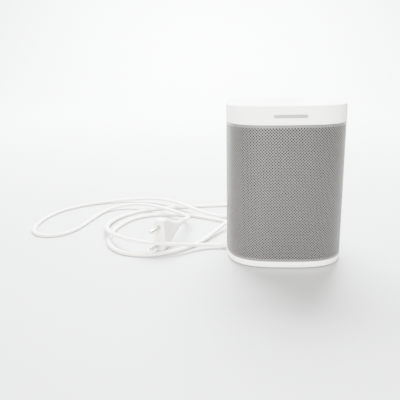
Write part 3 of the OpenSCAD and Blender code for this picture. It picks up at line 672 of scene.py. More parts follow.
def ease(target: bpy.types.Object, width: float, segments: int = 2, angle: float = 40.0) -> None:
    """Rounds an object's crisp edges.

    Args:
        target: the object.
        width: size of the round, in millimetres.
        segments: steps over the round.
        angle: edges steeper than this are rounded, in degrees.
    """
    change = target.modifiers.new("ease", "BEVEL")
    change.width, change.segments = width * MM, segments
    change.limit_method, change.angle_limit = "ANGLE", math.radians(angle)
    change.harden_normals = False
    apply_modifiers(target)
    target.data.set_sharp_from_angle(angle=math.radians(50))


# ------------------------------------------------------------------ camera, lights, floor
@dataclass
class Studio:
    """Camera, soft lights, pale floor and sweep."""

    eye: Point = (-56.62, -535.66, 206.59)
    yaw: float = -0.060
    pitch: float = 0.274
    roll: float = -0.020
    lens: float = 45.91
    key: float = 175.0
    back: float = 950.0
    sky: float = 0.95
    half_width: float = 4000.0
    front_edge: float = -3000.0
    sweep_start: float = 1700.0
    sweep_radius: float = 700.0
    sweep_top: float = 3200.0

    def camera(self) -> None:
        """Makes the camera."""
        cy, sy, cp, sp = math.cos(self.yaw), math.sin(self.yaw), math.cos(self.pitch), math.sin(self.pitch)
        ahead = Vector((sy * cp, cy * cp, -sp))
        right = Vector((cy, -sy, 0.0))
        up = right.cross(ahead)
        cr, sr = math.cos(self.roll), math.sin(self.roll)
        right, up = right * cr + up * sr, up * cr - right * sr
        data = bpy.data.cameras.new("camera")
        data.lens, data.sensor_width, data.clip_start = self.lens, 36.0, 0.01
        made = bpy.data.objects.new("camera", data)
        turn = Matrix((right, up, -ahead)).transposed().to_4x4()
        made.matrix_world = Matrix.Translation(Vector(self.eye) * MM) @ turn
        bpy.context.scene.collection.objects.link(made)
        bpy.context.scene.camera = made

    def panel(self, name: str, place: Point, aim: Point, size: float, power: float, tint: Colour) -> None:
        """Makes one soft square light.

        Args:
            name: its name.
            place: where it stands, in metres.
            aim: the point it faces.
            size: its side, in metres.
            power: its power, in watts.
            tint: its colour.
        """
        data = bpy.data.lights.new(name, "AREA")
        data.size, data.energy, data.color = size, power, tint
        made = bpy.data.objects.new(name, data)
        made.location = place
        made.rotation_mode = "QUATERNION"
        made.rotation_quaternion = (Vector(aim) - Vector(place)).to_track_quat("-Z", "Y")
        bpy.context.scene.collection.objects.link(made)

    def lights(self) -> None:
        """Makes the lights and the even surrounding light."""
        self.panel("key_light", (-0.45, -1.85, 0.8), (0, 0, 0.09), 0.9, self.key, (1.0, 0.985, 0.96))
        self.panel("back_light", (-0.2, 1.6, 1.6), (-0.1, 1.9, 0.1), 1.8, self.back, (0.95, 0.985, 1.0))
        world = bpy.data.worlds.new("surround")
        world.use_nodes = True
        light = world.node_tree.nodes["Background"].inputs
        light["Color"].default_value = (1.0, 1.0, 1.0, 1.0)
        light["Strength"].default_value = self.sky
        bpy.context.scene.world = world

    def floor(self) -> None:
        """Makes the floor, which sweeps up far behind the speaker."""
        mesh, start, r = Mesh(), self.sweep_start, self.sweep_radius
        profile = [(self.front_edge, 0.0), (start, 0.0)]
        for k in range(1, 11):
            a = math.radians(9 * k)
            profile.append((start + r * math.sin(a), r * (1 - math.cos(a))))
        profile.append((start + r, self.sweep_top))
        rings = [mesh.ring([(x, y, z) for x in (-self.half_width, self.half_width)]) for y, z in profile]
        mesh.skin(rings, closed=False)
        mesh.smooth("floor", STAGE, 32.0)

    def build(self) -> None:
        """Makes all of it."""
        self.camera()
        self.lights()
        self.floor()


# ------------------------------------------------------------------ lead
@dataclass
class Lead:
    """The flat two-core lead along its laid-out route, in millimetres."""

    width: float = 5.6
    height: float = 3.8
    floor: float = 2.0
    over: float = 10.0
    steps: int = 6
    sides: int = 20
    section_power: float = 2.5
    groove: float = 0.16
    groove_w: float = 0.55
    centre: list[Vector] = field(default_factory=list)

    def route(self) -> list[Point]:
        """The points that steer the lead."""
        f, over = self.floor, self.over
        end = MainsPlug().lead_end()
        return [
            (-66, 0, 3.4), (-90, 0, 3.4), (-128, -28, 15), (-168, -12, 13), (-204, 30, 9),
            (-217, 86, f), (-184, 142, f), (-124, 156, f), (-76, 163, f), (-34, 169, f),
            (4, 145, 6), (-16, 98, 11), (-56, 80, 9), (-75, 42, 4), (-94, 0, f),
            (-142, -34, f), (-192, -16, f), (-206, 50, f), (-182, 118, f), (-122, 126, f),
            (-68, 94, f), (-40, 76, f), (-2, 60, f), (37, 75, f), (33, 118, f),
            (-20, 123, f), (-74, 98, f), (-122, 146, over), (-162, 192, 6), (-236, 190, f),
            (-298, 146, f), (-309, 76, f), (-295, 34, f), (-256, 33, f), (-241, 78, f),
            (-234, 142, f), (-194, 166, 6), (-150, 126, 11), (-104, 96, 6), tuple(end),
        ]

    def curve(self) -> list[Vector]:
        """The smooth centre line that the route steers, a uniform cubic B-spline.

        Returns:
            Its points.
        """
        p = [Vector(q) for q in self.route()]
        p = [2 * p[0] - p[1], *p, 2 * p[-1] - p[-2]]
        line = []
        for i in range(len(p) - 3):
            for k in range(self.steps):
                t = k / self.steps
                line.append(((1 - t) ** 3 * p[i] + (3 * t ** 3 - 6 * t * t + 4) * p[i + 1]
                             + (-3 * t ** 3 + 3 * t * t + 3 * t + 1) * p[i + 2] + t ** 3 * p[i + 3]) / 6)
        line.append((p[-3] + 4 * p[-2] + p[-1]) / 6)
        return line

    def section(self, a: float) -> Flat:
        """A point of the flat oval section, with a shallow groove along each flat side.

        Args:
            a: which point, in radians.

        Returns:
            The point.
        """
        x, y = superellipse(a, self.width / 2, self.height / 2, self.section_power)
        if abs(y) <= 0.5:
            return x, y
        return x, y - math.copysign(self.groove * math.exp(-(x / self.groove_w) ** 2), y)

    def build(self) -> bpy.types.Object:
        """Makes the lead.

        Returns:
            The lead.
        """
        self.centre = self.curve()
        mesh, rings = Mesh(), []
        n = len(self.centre)
        for i, c in enumerate(self.centre):
            along = (self.centre[min(i + 1, n - 1)] - self.centre[max(i - 1, 0)]).normalized()
            side = along.cross(Vector((0, 0, 1))).normalized()
            up = side.cross(along)
            points = [self.section(2 * math.pi * k / self.sides) for k in range(self.sides)]
            rings.append(mesh.ring(tuple(c + side * x + up * y) for x, y in points))
        mesh.skin(rings)
        mesh.cap(rings[0], flip=True)
        mesh.cap(rings[-1])
        return mesh.piece("lead", VINYL, Slot.LEAD, "mains_lead", sharp=60)

    def length(self) -> float:
        """The centre line's length, in metres."""
        return sum((b - a).length for a, b in zip(self.centre, self.centre[1:])) * MM

    def declare(self, made: bpy.types.Object, pieces: Sequence[bpy.types.Object]) -> None:
        """Args:
            made: the lead; not used.
            pieces: what is on it; not used.
        """
        [x * MM for x in self.centre[0]]
        self.length()
        [tuple(c * MM) for c in self.centre]


@dataclass
class MainsPlug:
    """The flat mains plug standing on its narrow side, and its strain relief."""

    place: Point = (-134.0, -9.0, 0.0)
    turn: float = -112.0
    height: float = 35.3
    thick: float = 13.7
    length: float = 37.0
    full: float = 9.0
    relief: float = 22.0
    pin_d: float = 4.0
    pin_l: float = 19.0
    pitch: float = 19.0
    sleeve: float = 10.0
    edge: float = 1.3
    tail_h: float = 6.0
    tail_t: float = 5.4
    face_power: float = 4.4
    tail_power: float = 2.2
    ribs: int = 6

    def matrix(self) -> Matrix:
        """From the plug's own frame, +X along the pins, to the row frame."""
        return Matrix.Translation(Vector(self.place)) @ Matrix.Rotation(math.radians(self.turn), 4, "Z")

    def lead_end(self) -> Vector:
        """Where the lead enters the strain relief."""
        return self.matrix() @ Vector((-self.length - self.relief, 0, self.height / 2))

    def section(self, x: float, count: int = 64) -> list[Point]:
        """The body's flattened six-sided section at a distance behind its face.

        Args:
            x: local X, 0 at the face and negative behind it.
            count: number of points.

        Returns:
            Points in the row frame.
        """
        t = min(1.0, max(0.0, (-x - self.full) / (self.length - self.full)))
        t = t * t * (3 - 2 * t) * 0.35 + t * 0.65
        half_h = self.height / 2 * (1 - t) + self.tail_h * t
        half_t = self.thick / 2 * (1 - t) + self.tail_t * t
        power = self.face_power * (1 - t) + self.tail_power * t
        into = min(1.0, -x / self.edge)
        shrink = self.edge * (1 - math.sqrt(max(0.0, 1 - (1 - into) ** 2)))
        points = []
        for k in range(count):
            y, z = superellipse(2 * math.pi * k / count, half_t - shrink, half_h - shrink, power)
            points.append(tuple(self.matrix() @ Vector((x, y, self.height / 2 + z))))
        return points

    def body(self) -> bpy.types.Object:
        """The moulded body, rounded at its face, with grip ribs on its flat sides.

        Returns:
            The body.
        """
        mesh = Mesh()
        stations = [-0.001, -0.1, -0.3, -0.6, -0.95, -1.3, -2.5, -4.5, -7, -9, -11, -13.5, -16, -19,
                    -22, -25, -28, -31, -33.5, -35.5, -36.6, -37.0]
        rings = [mesh.ring(self.section(x)) for x in stations]
        mesh.skin(rings)
        mesh.cap(rings[0], flip=True)
        last = [Vector(mesh.verts[i]) for i in rings[-1]]
        middle = sum(last, Vector()) / len(last)
        inner = mesh.ring(tuple(middle + (p - middle) * 0.86) for p in last)
        mesh.skin([rings[-1], inner])
        mesh.cap(inner)
        taper = self.length - self.full
        for side in (1, -1):
            for k in range(self.ribs):
                x = -15.0 - 2.6 * k
                reach = 4.8 - 0.32 * k
                t = (-x - self.full) / taper
                y = side * (self.thick / 2 * (1 - t) + self.tail_t * t - 0.25)
                spot = self.matrix() @ Matrix.Translation((x, y, self.height / 2))
                mesh.block((-0.55, -0.55, -reach), (0.55, 0.55, reach), 0.3, spot)
        return mesh.piece("plug_shell", PLUG_WHITE, Slot.LEAD, "plug_body", sharp=40)

    def pins(self) -> list[bpy.types.Object]:
        """The metal pins with domed ends, and their insulating sleeves.

        Returns:
            The pins and the sleeves.
        """
        metal, sleeves = Mesh(), Mesh()
        r, end, bare = self.pin_d / 2, self.pin_l, self.sleeve
        pin = [(r * 0.9, -1.0), (r * 0.9, bare), (r, bare + 0.15), (r, end - 1.6), (r * 0.93, end - 0.9),
               (r * 0.74, end - 0.35), (r * 0.5, end - 0.08), (r * 0.36, end), (r * 0.3, end - 0.5)]
        cover = [(r + 0.55, -0.6), (r + 0.5, 0.25), (r, 0.6), (r - 0.04, 3.0), (r - 0.06, bare - 0.4),
                 (r - 0.15, bare + 0.02)]
        for side in (-1, 1):
            lift = Matrix.Translation((0, 0, self.height / 2 + side * self.pitch / 2))
            spot = self.matrix() @ lift @ Matrix.Rotation(math.pi / 2, 4, "Y")
            metal.turned(pin, 32, spot)
            sleeves.turned(cover, 32, spot)
        return [metal.piece("plug_pins_metal", NICKEL, Slot.PIN, "plug_pins"),
                sleeves.piece("plug_pin_sleeves", SLEEVE, Slot.LEAD, "plug_pins")]

    def strain_relief(self) -> bpy.types.Object:
        """The ribbed, tapered strain relief.

        Returns:
            The strain relief.
        """
        back = Matrix.Translation((-self.length, 0, self.height / 2))
        spot = self.matrix() @ back @ Matrix.Rotation(-math.pi / 2, 4, "Y")
        mesh = ribbed_relief(spot, self.relief, 4.2, 3.0, 6)
        return mesh.piece("plug_relief", PLUG_WHITE, Slot.LEAD, "plug_strain_relief", sharp=35)

    def build(self) -> list[bpy.types.Object]:
        """Makes the plug's pieces."""
        return [self.body(), *self.pins(), self.strain_relief()]


def ribbed_relief(place: Matrix, length: float, wide: float, narrow: float, ribs: int,
                  start: float = 0.0) -> Mesh:
    """A tapered strain relief with collars between slots.

    Args:
        place: from its own frame, +Z away from the housing.
        length: its length.
        wide: radius at the housing.
        narrow: radius at the tip.
        ribs: number of slots.
        start: where the slots begin.

    Returns:
        Its mesh.
    """
    mesh = Mesh()
    profile = [(wide - 0.35, 0.0), (wide, 0.35)]
    step = (length - start - 3.0) / ribs
    for k in range(ribs):
        z0 = start + 1.6 + k * step
        r = wide + (narrow - wide) * z0 / length
        profile += [(r, z0), (r - 0.12, z0 + 0.12), (r - 0.85, z0 + 0.3), (r - 0.85, z0 + 1.1),
                    (r - 0.14, z0 + 1.3), (r - 0.02, z0 + 1.45)]
    profile += [(narrow + 0.05, length - 0.5), (narrow - 0.2, length), (narrow - 0.5, length)]
    mesh.turned(profile, 40, place)
    return mesh


# ------------------------------------------------------------------ the body's shell
@dataclass
class Shell:
    """Sizes that the outer pieces share, in millimetres."""

    width: float
    depth: float
    top: float
    cap_z: float
    grille_z: float
    base_z: float
    strip: float = 40.0

    @classmethod
    def measured(cls) -> "Shell":
        """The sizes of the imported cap, grille and base.

        Returns:
            The shell.
        """
        def corners(node: str) -> tuple[list[float], list[float]]:
            """A node's lowest and highest corners, to a hundredth of a millimetre."""
            low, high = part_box(node)
            return [round(v / MM, 2) for v in low], [round(v / MM, 2) for v in high]

        (left, front, cap_z), (right, back, top) = corners("top_cap")
        return cls(round(right - left, 2), round(back - front, 2), top, cap_z,
                   corners("grille")[0][2], corners("base")[0][2])

    def ring(self, mesh: Mesh, inset: float, z: float, count: int = 240) -> list[int]:
        """Adds the outline, set in by a distance, at a height."""
        return mesh.level(outline(self.width - 2 * inset, self.depth - 2 * inset, count), z)

    def face(self, x: float) -> float:
        """Distance of the front or back face from the middle, at a distance x to one side."""
        w = self.width / 2
        return w * (1 - (abs(x) / w) ** BODY_POWER) ** (1 / BODY_POWER)


@dataclass
class TopCap:
    """The cap with its keys, marks, light and badge."""

    shell: Shell
    wall: float = 2.4
    roof: float = 2.6
    edge: float = 1.4
    rocker: tuple[float, float, float] = (38.0, 11.0, 4.0)
    play: tuple[float, float, float] = (17.0, 11.0, -19.0)
    gap: float = 0.45
    lens_y: float = -34.0
    lens_r: float = 1.5
    boss_x: float = 36.0
    boss_y: float = 30.0
    boss_end: float = 150.1
    badge_z: float = 152.0
    badge_half: float = 16.0
    badge_r: float = 1.7
    mark_w: float = 0.28
    mark_t: float = 0.13

    def cap(self) -> None:
        """The hollow cap with eased edges and three openings in its roof."""
        s, mesh = self.shell, Mesh()
        under = s.top - self.roof
        steps = [(self.wall + 1.4, under), (self.wall + 0.4, under - 0.4), (self.wall, under - 1.4),
                 (self.wall, s.cap_z), (0.5, s.cap_z), (0.18, s.cap_z + 0.1), (0.03, s.cap_z + 0.32),
                 (0.0, s.cap_z + 0.6), (0.0, s.top - self.edge)]
        for k in range(1, 9):
            a = math.radians(90 * k / 8)
            steps.append((self.edge * (1 - math.cos(a)), s.top - self.edge * (1 - math.sin(a))))
        rings = [s.ring(mesh, inset, z) for inset, z in steps]
        mesh.skin(rings)
        tops, unders = [], []
        for length, width, y in (self.rocker, self.play):
            loops = []
            for grow, z in ((0.2, s.top), (0.06, s.top - 0.06), (0.0, s.top - 0.2), (0.0, under)):
                wider = 2 * (self.gap + grow)
                flat = [(x, v + y) for x, v in pill(length + wider, width + wider)]
                loops.append(mesh.level(flat, z))
            self._well(mesh, loops)
            tops.append(loops[0])
            unders.append(loops[-1])
        loops = [mesh.level(circle(self.lens_r + grow, 32, self.lens_y), z)
                 for grow, z in ((0.35, s.top), (0.2, s.top - 0.15), (0.2, under))]
        self._well(mesh, loops)
        mesh.plate([rings[-1], *tops, loops[0]])
        mesh.plate([rings[0], *unders, loops[-1]], flip=True)
        end = self.boss_end
        boss = [(1.3, under + 0.1), (3.5, under + 0.1), (3.5, end + 0.2), (3.2, end), (1.3, end)]
        for x in (-self.boss_x, self.boss_x):
            for y in (-self.boss_y, self.boss_y):
                mesh.turned(boss, 32, Matrix.Translation((x, y, 0)))
        mesh.piece("cap", WHITE, Slot.SHELL, "top_cap", sharp=28)

    @staticmethod
    def _well(mesh: Mesh, loops: list[list[int]]) -> None:
        """Adds a hole's wall, facing into the hole, through loops from its top down."""
        mesh.skin(list(reversed(loops)))
        mesh.turn_over((len(loops) - 1) * len(loops[0]))

    def key(self, mesh: Mesh, size: tuple[float, float, float], bottom: float, crown: float) -> None:
        """Adds a crowned, round-ended key.

        Args:
            mesh: the mesh to add to.
            size: length, width and Y of its middle.
            bottom: its lower face.
            crown: how far its middle stands above its edge.
        """
        length, width, y = size
        top = self.shell.top - 0.3
        steps = [(0.15, bottom), (0.0, bottom + 0.15), (0.0, top - 0.75 - crown)]
        for a in (math.radians(15 * k) for k in range(1, 7)):
            steps.append((0.7 * (1 - math.cos(a)), top - crown - 0.7 * (1 - math.sin(a))))
        steps += [(width / 2 * f, top - crown * (1 - f) ** 2) for f in (0.25, 0.4, 0.6, 0.8, 0.97)]
        rings = [mesh.level([(x, v + y) for x, v in pill(length - 2 * inset, width - 2 * inset)], z)
                 for inset, z in steps]
        mesh.skin(rings)
        mesh.plate([rings[0]], flip=True)
        mesh.cap(rings[-1])

    def volume(self) -> None:
        """The volume rocker with its two pushers, its hub and its marks."""
        top, under = self.shell.top, self.shell.top - self.roof
        length, _, y = self.rocker
        key, marks = Mesh(), Mesh()
        self.key(key, self.rocker, under - 0.4, 0.12)
        for side in (-1, 1):
            spot = Matrix.Translation((side * (length / 2 - 6), y, 0))
            key.turned([(1.4, 153.0), (1.7, 153.3), (1.7, under - 0.2)], 32, spot)
        key.block((-2.6, y - 3.5, under - 3.0), (2.6, y + 3.5, under - 0.1), 0.25)
        key.piece("volume_key_shell", KEY_WHITE, Slot.SHELL, "volume_rocker", Body.VOLUME_KEY, 30)
        z, half, w, mid = top - 0.40, 1.8, self.mark_w, 13
        for x in (-mid, mid):
            marks.block((x - half, y - w, z), (x + half, y + w, z + self.mark_t), 0.04)
        marks.block((mid - w, y - half, z), (mid + w, y + half, z + self.mark_t - 0.002), 0.04)
        marks.piece("volume_key_marks", MARK_GREY, Slot.BADGE, body=Body.VOLUME_KEY)

    def play_pause(self) -> None:
        """The play and pause key with its pusher and its marks."""
        top, under = self.shell.top, self.shell.top - self.roof
        y, half = self.play[2], 1.7
        key, marks = Mesh(), Mesh()
        self.key(key, self.play, under - 1.2, 0.12)
        key.turned([(1.4, 153.1), (1.7, 153.4), (1.7, under - 1.1)], 32, Matrix.Translation((0, y, 0)))
        key.piece("play_key_shell", KEY_WHITE, Slot.SHELL, "play_pause_button", Body.PLAY_KEY, 30)
        z = top - 0.40
        z1 = z + self.mark_t
        low = marks.ring([(-2.9, y - half, z), (0.1, y, z), (-2.9, y + half, z)])
        high = marks.ring([(-2.85, y - 1.62, z1), (0.0, y, z1), (-2.85, y + 1.62, z1)])
        marks.skin([low, high])
        marks.faces += [tuple(reversed(low)), tuple(high)]
        for x in (1.3, 2.7):
            marks.block((x, y - half, z), (x + 0.75, y + half, z1), 0.04)
        marks.piece("play_key_marks", MARK_GREY, Slot.BADGE, body=Body.PLAY_KEY)

    def light(self) -> None:
        """The domed lens of the status light."""
        mesh, top, r = Mesh(), self.shell.top, self.lens_r
        profile = [(2.4, 151.1), (2.5, 151.3), (2.5, 158.8), (2.4, 158.9), (r, 158.9), (r, top - 0.5),
                   (1.3, top - 0.28), (0.8, top - 0.2), (0.2, top - 0.18)]
        mesh.turned(profile, 40, Matrix.Translation((0, self.lens_y, 0)))
        mesh.piece("light_lens", LENS, Slot.LENS, "status_light_lens")

    def badge(self) -> None:
        """The plain bar on the front, curved with the cap."""
        mesh, rings = Mesh(), []
        half, r, across, z = self.badge_half, self.badge_r, 40, self.badge_z
        steps = [(0.0, -0.55), (0.0, 0.02), (0.05, 0.1), (0.14, 0.145), (0.3, 0.15)]
        xs = [-half * math.cos(math.pi * k / across) for k in range(across + 1)]

        def rim(x: float, inset: float) -> float:
            """Half height of the bar at a distance to one side."""
            beyond = max(0.0, abs(x) - (half - r))
            return math.sqrt(max((r - inset) ** 2 - beyond ** 2, 0.0004))

        for inset, lift in steps:
            spots = [x * (1 - inset / half) for x in xs]
            upper = [(x, -self.shell.face(x) - lift, z + rim(x, inset)) for x in spots]
            lower = [(x, -self.shell.face(x) - lift, z - rim(x, inset)) for x in reversed(spots)]
            rings.append(mesh.ring(lower + upper))
        mesh.skin(rings)
        last = rings[-1]
        n = len(last)
        for k in range(across):
            mesh.faces.append((last[k], last[k + 1], last[n - 2 - k], last[n - 1 - k]))
        mesh.piece("badge_bar", BADGE, Slot.BADGE, "badge", sharp=40)

    def build(self) -> None:
        """Makes the cap's pieces."""
        self.cap()
        self.volume()
        self.play_pause()
        self.light()
        self.badge()


@dataclass
class Grille:
    """The wrap-round sheet with staggered round holes, in two halves that meet at the front."""

    shell: Shell
    pitch: float = 2.85
    hole_r: float = 0.90
    thick: float = 0.9
    band: float = 2.0
    flare: float = 1.06
    wall: float = 0.55
    side_band: float = 5.0
    fold: float = 0.35
    fine: int = 4
    lead_in: int = 8
    low: float = field(init=False)
    high: float = field(init=False)
    columns: int = field(init=False)
    rows: int = field(init=False)
    du: float = field(init=False)
    dz: float = field(init=False)
    track: list[tuple[Vector, Vector]] = field(init=False, default_factory=list)
    halves: tuple[Mesh, Mesh] = field(init=False, default_factory=lambda: (Mesh(), Mesh()))
    shared: tuple[dict, dict] = field(init=False, default_factory=lambda: ({}, {}))

    def __post_init__(self) -> None:
        """Fits a whole number of holes to the sheet, and lays its track round the outline."""
        points, lengths = self.line()
        total = lengths[-1]
        holes = total - 2 * self.side_band
        self.low, self.high = self.shell.grille_z + self.band, self.shell.cap_z - self.band
        self.columns = 2 * round(holes / self.pitch)
        self.rows = 2 * round((self.high - self.low) / self.pitch)
        self.du, self.dz = holes / self.columns, (self.high - self.low) / self.rows
        for k in range(-self.lead_in, self.fine * self.columns + self.lead_in + 1):
            at = min(max(self.side_band + self.du * k / self.fine, 0.0), total)
            self.track.append(self.along(points, lengths, at))

    def line(self) -> tuple[list[Vector], list[float]]:
        """The outline from one edge of the back strip round the front to the other.

        Returns:
            Its points, and its length up to each.
        """
        s, count = self.shell, 4000
        points = [Vector((x, y, 0)) for x, y in outline(s.width, s.depth, count)]
        points = points[count // 4:] + points[:count // 4]
        points = [p for p in points if not (p.y > 0 and abs(p.x) < s.strip / 2)]
        lengths = [0.0]
        for a, b in zip(points, points[1:]):
            lengths.append(lengths[-1] + (b - a).length)
        return points, lengths

    @staticmethod
    def along(points: list[Vector], lengths: list[float], at: float) -> tuple[Vector, Vector]:
        """Place and outward direction at a length along the outline.

        Args:
            points: the outline's points.
            lengths: the length up to each.
            at: the length.

        Returns:
            The place and the direction.
        """
        low, high = 0, len(lengths) - 1
        while high - low > 1:
            half = (low + high) // 2
            if lengths[half] <= at:
                low = half
            else:
                high = half
        t = (at - lengths[low]) / max(lengths[high] - lengths[low], 1e-9)
        way = (points[high] - points[low]).normalized()
        return points[low].lerp(points[high], t), Vector((way.y, -way.x, 0))

    def spot(self, u: float, z: float, depth: float) -> Point:
        """A point of the sheet.

        Args:
            u: columns along it.
            z: height.
            depth: distance behind its outer face.

        Returns:
            The point.
        """
        k = min(max(u * self.fine + self.lead_in, 0.0), len(self.track) - 1.001)
        i, t = int(k), k - int(k)
        (place, out), (place1, out1) = self.track[i], self.track[i + 1]
        p = place.lerp(place1, t) - out.lerp(out1, t) * depth
        return (p.x, p.y, z)

    def corner(self, half: int, i: int, j: int) -> int:
        """The shared corner between holes at column i and row j, by number."""
        if (i, j) not in self.shared[half]:
            place = self.spot(i, self.low + j * self.dz, 0)
            self.shared[half][(i, j)] = self.halves[half].ring([place])[0]
        return self.shared[half][(i, j)]

    def hole(self, half: int, i: int, j: int, around: Sequence[tuple[int, int]]) -> None:
        """Adds one hole with its wall and the metal round it.

        Args:
            half: which half of the sheet.
            i: its column.
            j: its row.
            around: the four corners round it.
        """
        mesh, z = self.halves[half], self.low + j * self.dz
        turn = [(math.cos(math.pi * k / 4), math.sin(math.pi * k / 4)) for k in range(8)]
        loops = []
        for r, depth in ((self.hole_r, 0.0), (self.hole_r * self.flare, self.thick * self.wall)):
            loops.append(mesh.ring([self.spot(i + r / self.du * c, z + r * s, depth) for c, s in turn]))
        front, back = loops
        c = [self.corner(half, *at) for at in around]
        for q in range(4):
            k = 2 * q
            mesh.faces.append((c[q], c[(q + 1) % 4], front[(k + 2) % 8], front[k + 1], front[k]))
        mesh.skin([back, front])
        mesh.turn_over(8)

    def field_of_holes(self) -> None:
        """Adds the holes, and the triangles that end their rows."""
        for i in range(self.columns + 1):
            half = 0 if i < self.columns // 2 else 1
            for j in range(1 - i % 2, self.rows + 1, 2):
                around = [(i + 1, j), (i, j + 1), (i - 1, j), (i, j - 1)]
                if 0 < i < self.columns and 0 < j < self.rows:
                    self.hole(half, i, j, around)
                    continue
                kept = [(a, b) for a, b in around if 0 <= a <= self.columns and 0 <= b <= self.rows]
                if len(kept) == 3:
                    self.halves[half].faces.append(tuple(self.corner(half, *at) for at in kept))

    def level_band(self, half: int, j: int, edge_z: float, inward: float) -> None:
        """Adds the plain border above or below the holes, with its folded edge.

        Args:
            half: which half of the sheet.
            j: the row of corners that it starts from.
            edge_z: the sheet's edge.
            inward: 1 where the sheet lies above that edge, -1 where it lies below.
        """
        mesh, middle = self.halves[half], self.columns // 2
        if half == 0:
            columns = range(0, middle + 1 - middle % 2, 2)
        else:
            columns = range(middle - middle % 2, self.columns + 1, 2)
        columns = [i for i in columns if (i + j) % 2 == 0]
        lines = [[self.corner(half, i, j) for i in columns]]
        end = edge_z + 0.02 * inward
        for z, depth in ((edge_z + self.fold * inward, 0.0), (end, 0.3), (end, self.thick)):
            lines.append(mesh.ring([self.spot(i, z, depth) for i in columns]))
        mesh.skin([list(reversed(line)) for line in lines] if j else lines, closed=False)

    def upright_band(self, half: int) -> None:
        """Adds the plain border beside the back strip, with its folded edge."""
        mesh, s = self.halves[half], self.shell
        reach = (self.side_band - 0.05) / self.du
        i, side = (0, -reach) if half == 0 else (self.columns, self.columns + reach)
        edge = [self.corner(half, i, j) for j in range(i % 2, self.rows + 1, 2)]
        edge = [*mesh.ring([self.spot(i, s.grille_z + self.fold, 0)]), *edge,
                *mesh.ring([self.spot(i, s.cap_z - self.fold, 0)])]
        heights = [mesh.verts[k][2] for k in edge]
        lines = [edge]
        for u, depth in ((i + (side - i) / 2, 0.0), (side, 0.08), (side, self.thick)):
            lines.append(mesh.ring([self.spot(u, z, depth) for z in heights]))
        mesh.skin(lines if half == 0 else [list(reversed(line)) for line in lines], closed=False)

    @staticmethod
    def face_out(mesh: Mesh) -> None:
        """Turns the triangles outward."""
        for k, face in enumerate(mesh.faces):
            if len(face) == 3:
                a, b, c = (Vector(mesh.verts[i]) for i in face)
                if (b - a).cross(c - a).dot(Vector((a.x, a.y, 0))) < 0:
                    mesh.faces[k] = tuple(reversed(face))

    def build(self) -> None:
        """Makes both halves."""
        self.field_of_holes()
        for half, name in enumerate(("grille_left", "grille_right")):
            self.level_band(half, 0, self.shell.grille_z, 1)
            self.level_band(half, self.rows, self.shell.cap_z, -1)
            self.upright_band(half)
            self.face_out(self.halves[half])
            self.halves[half].piece(name, SHEET, Slot.GRILLE, "grille", sharp=40)


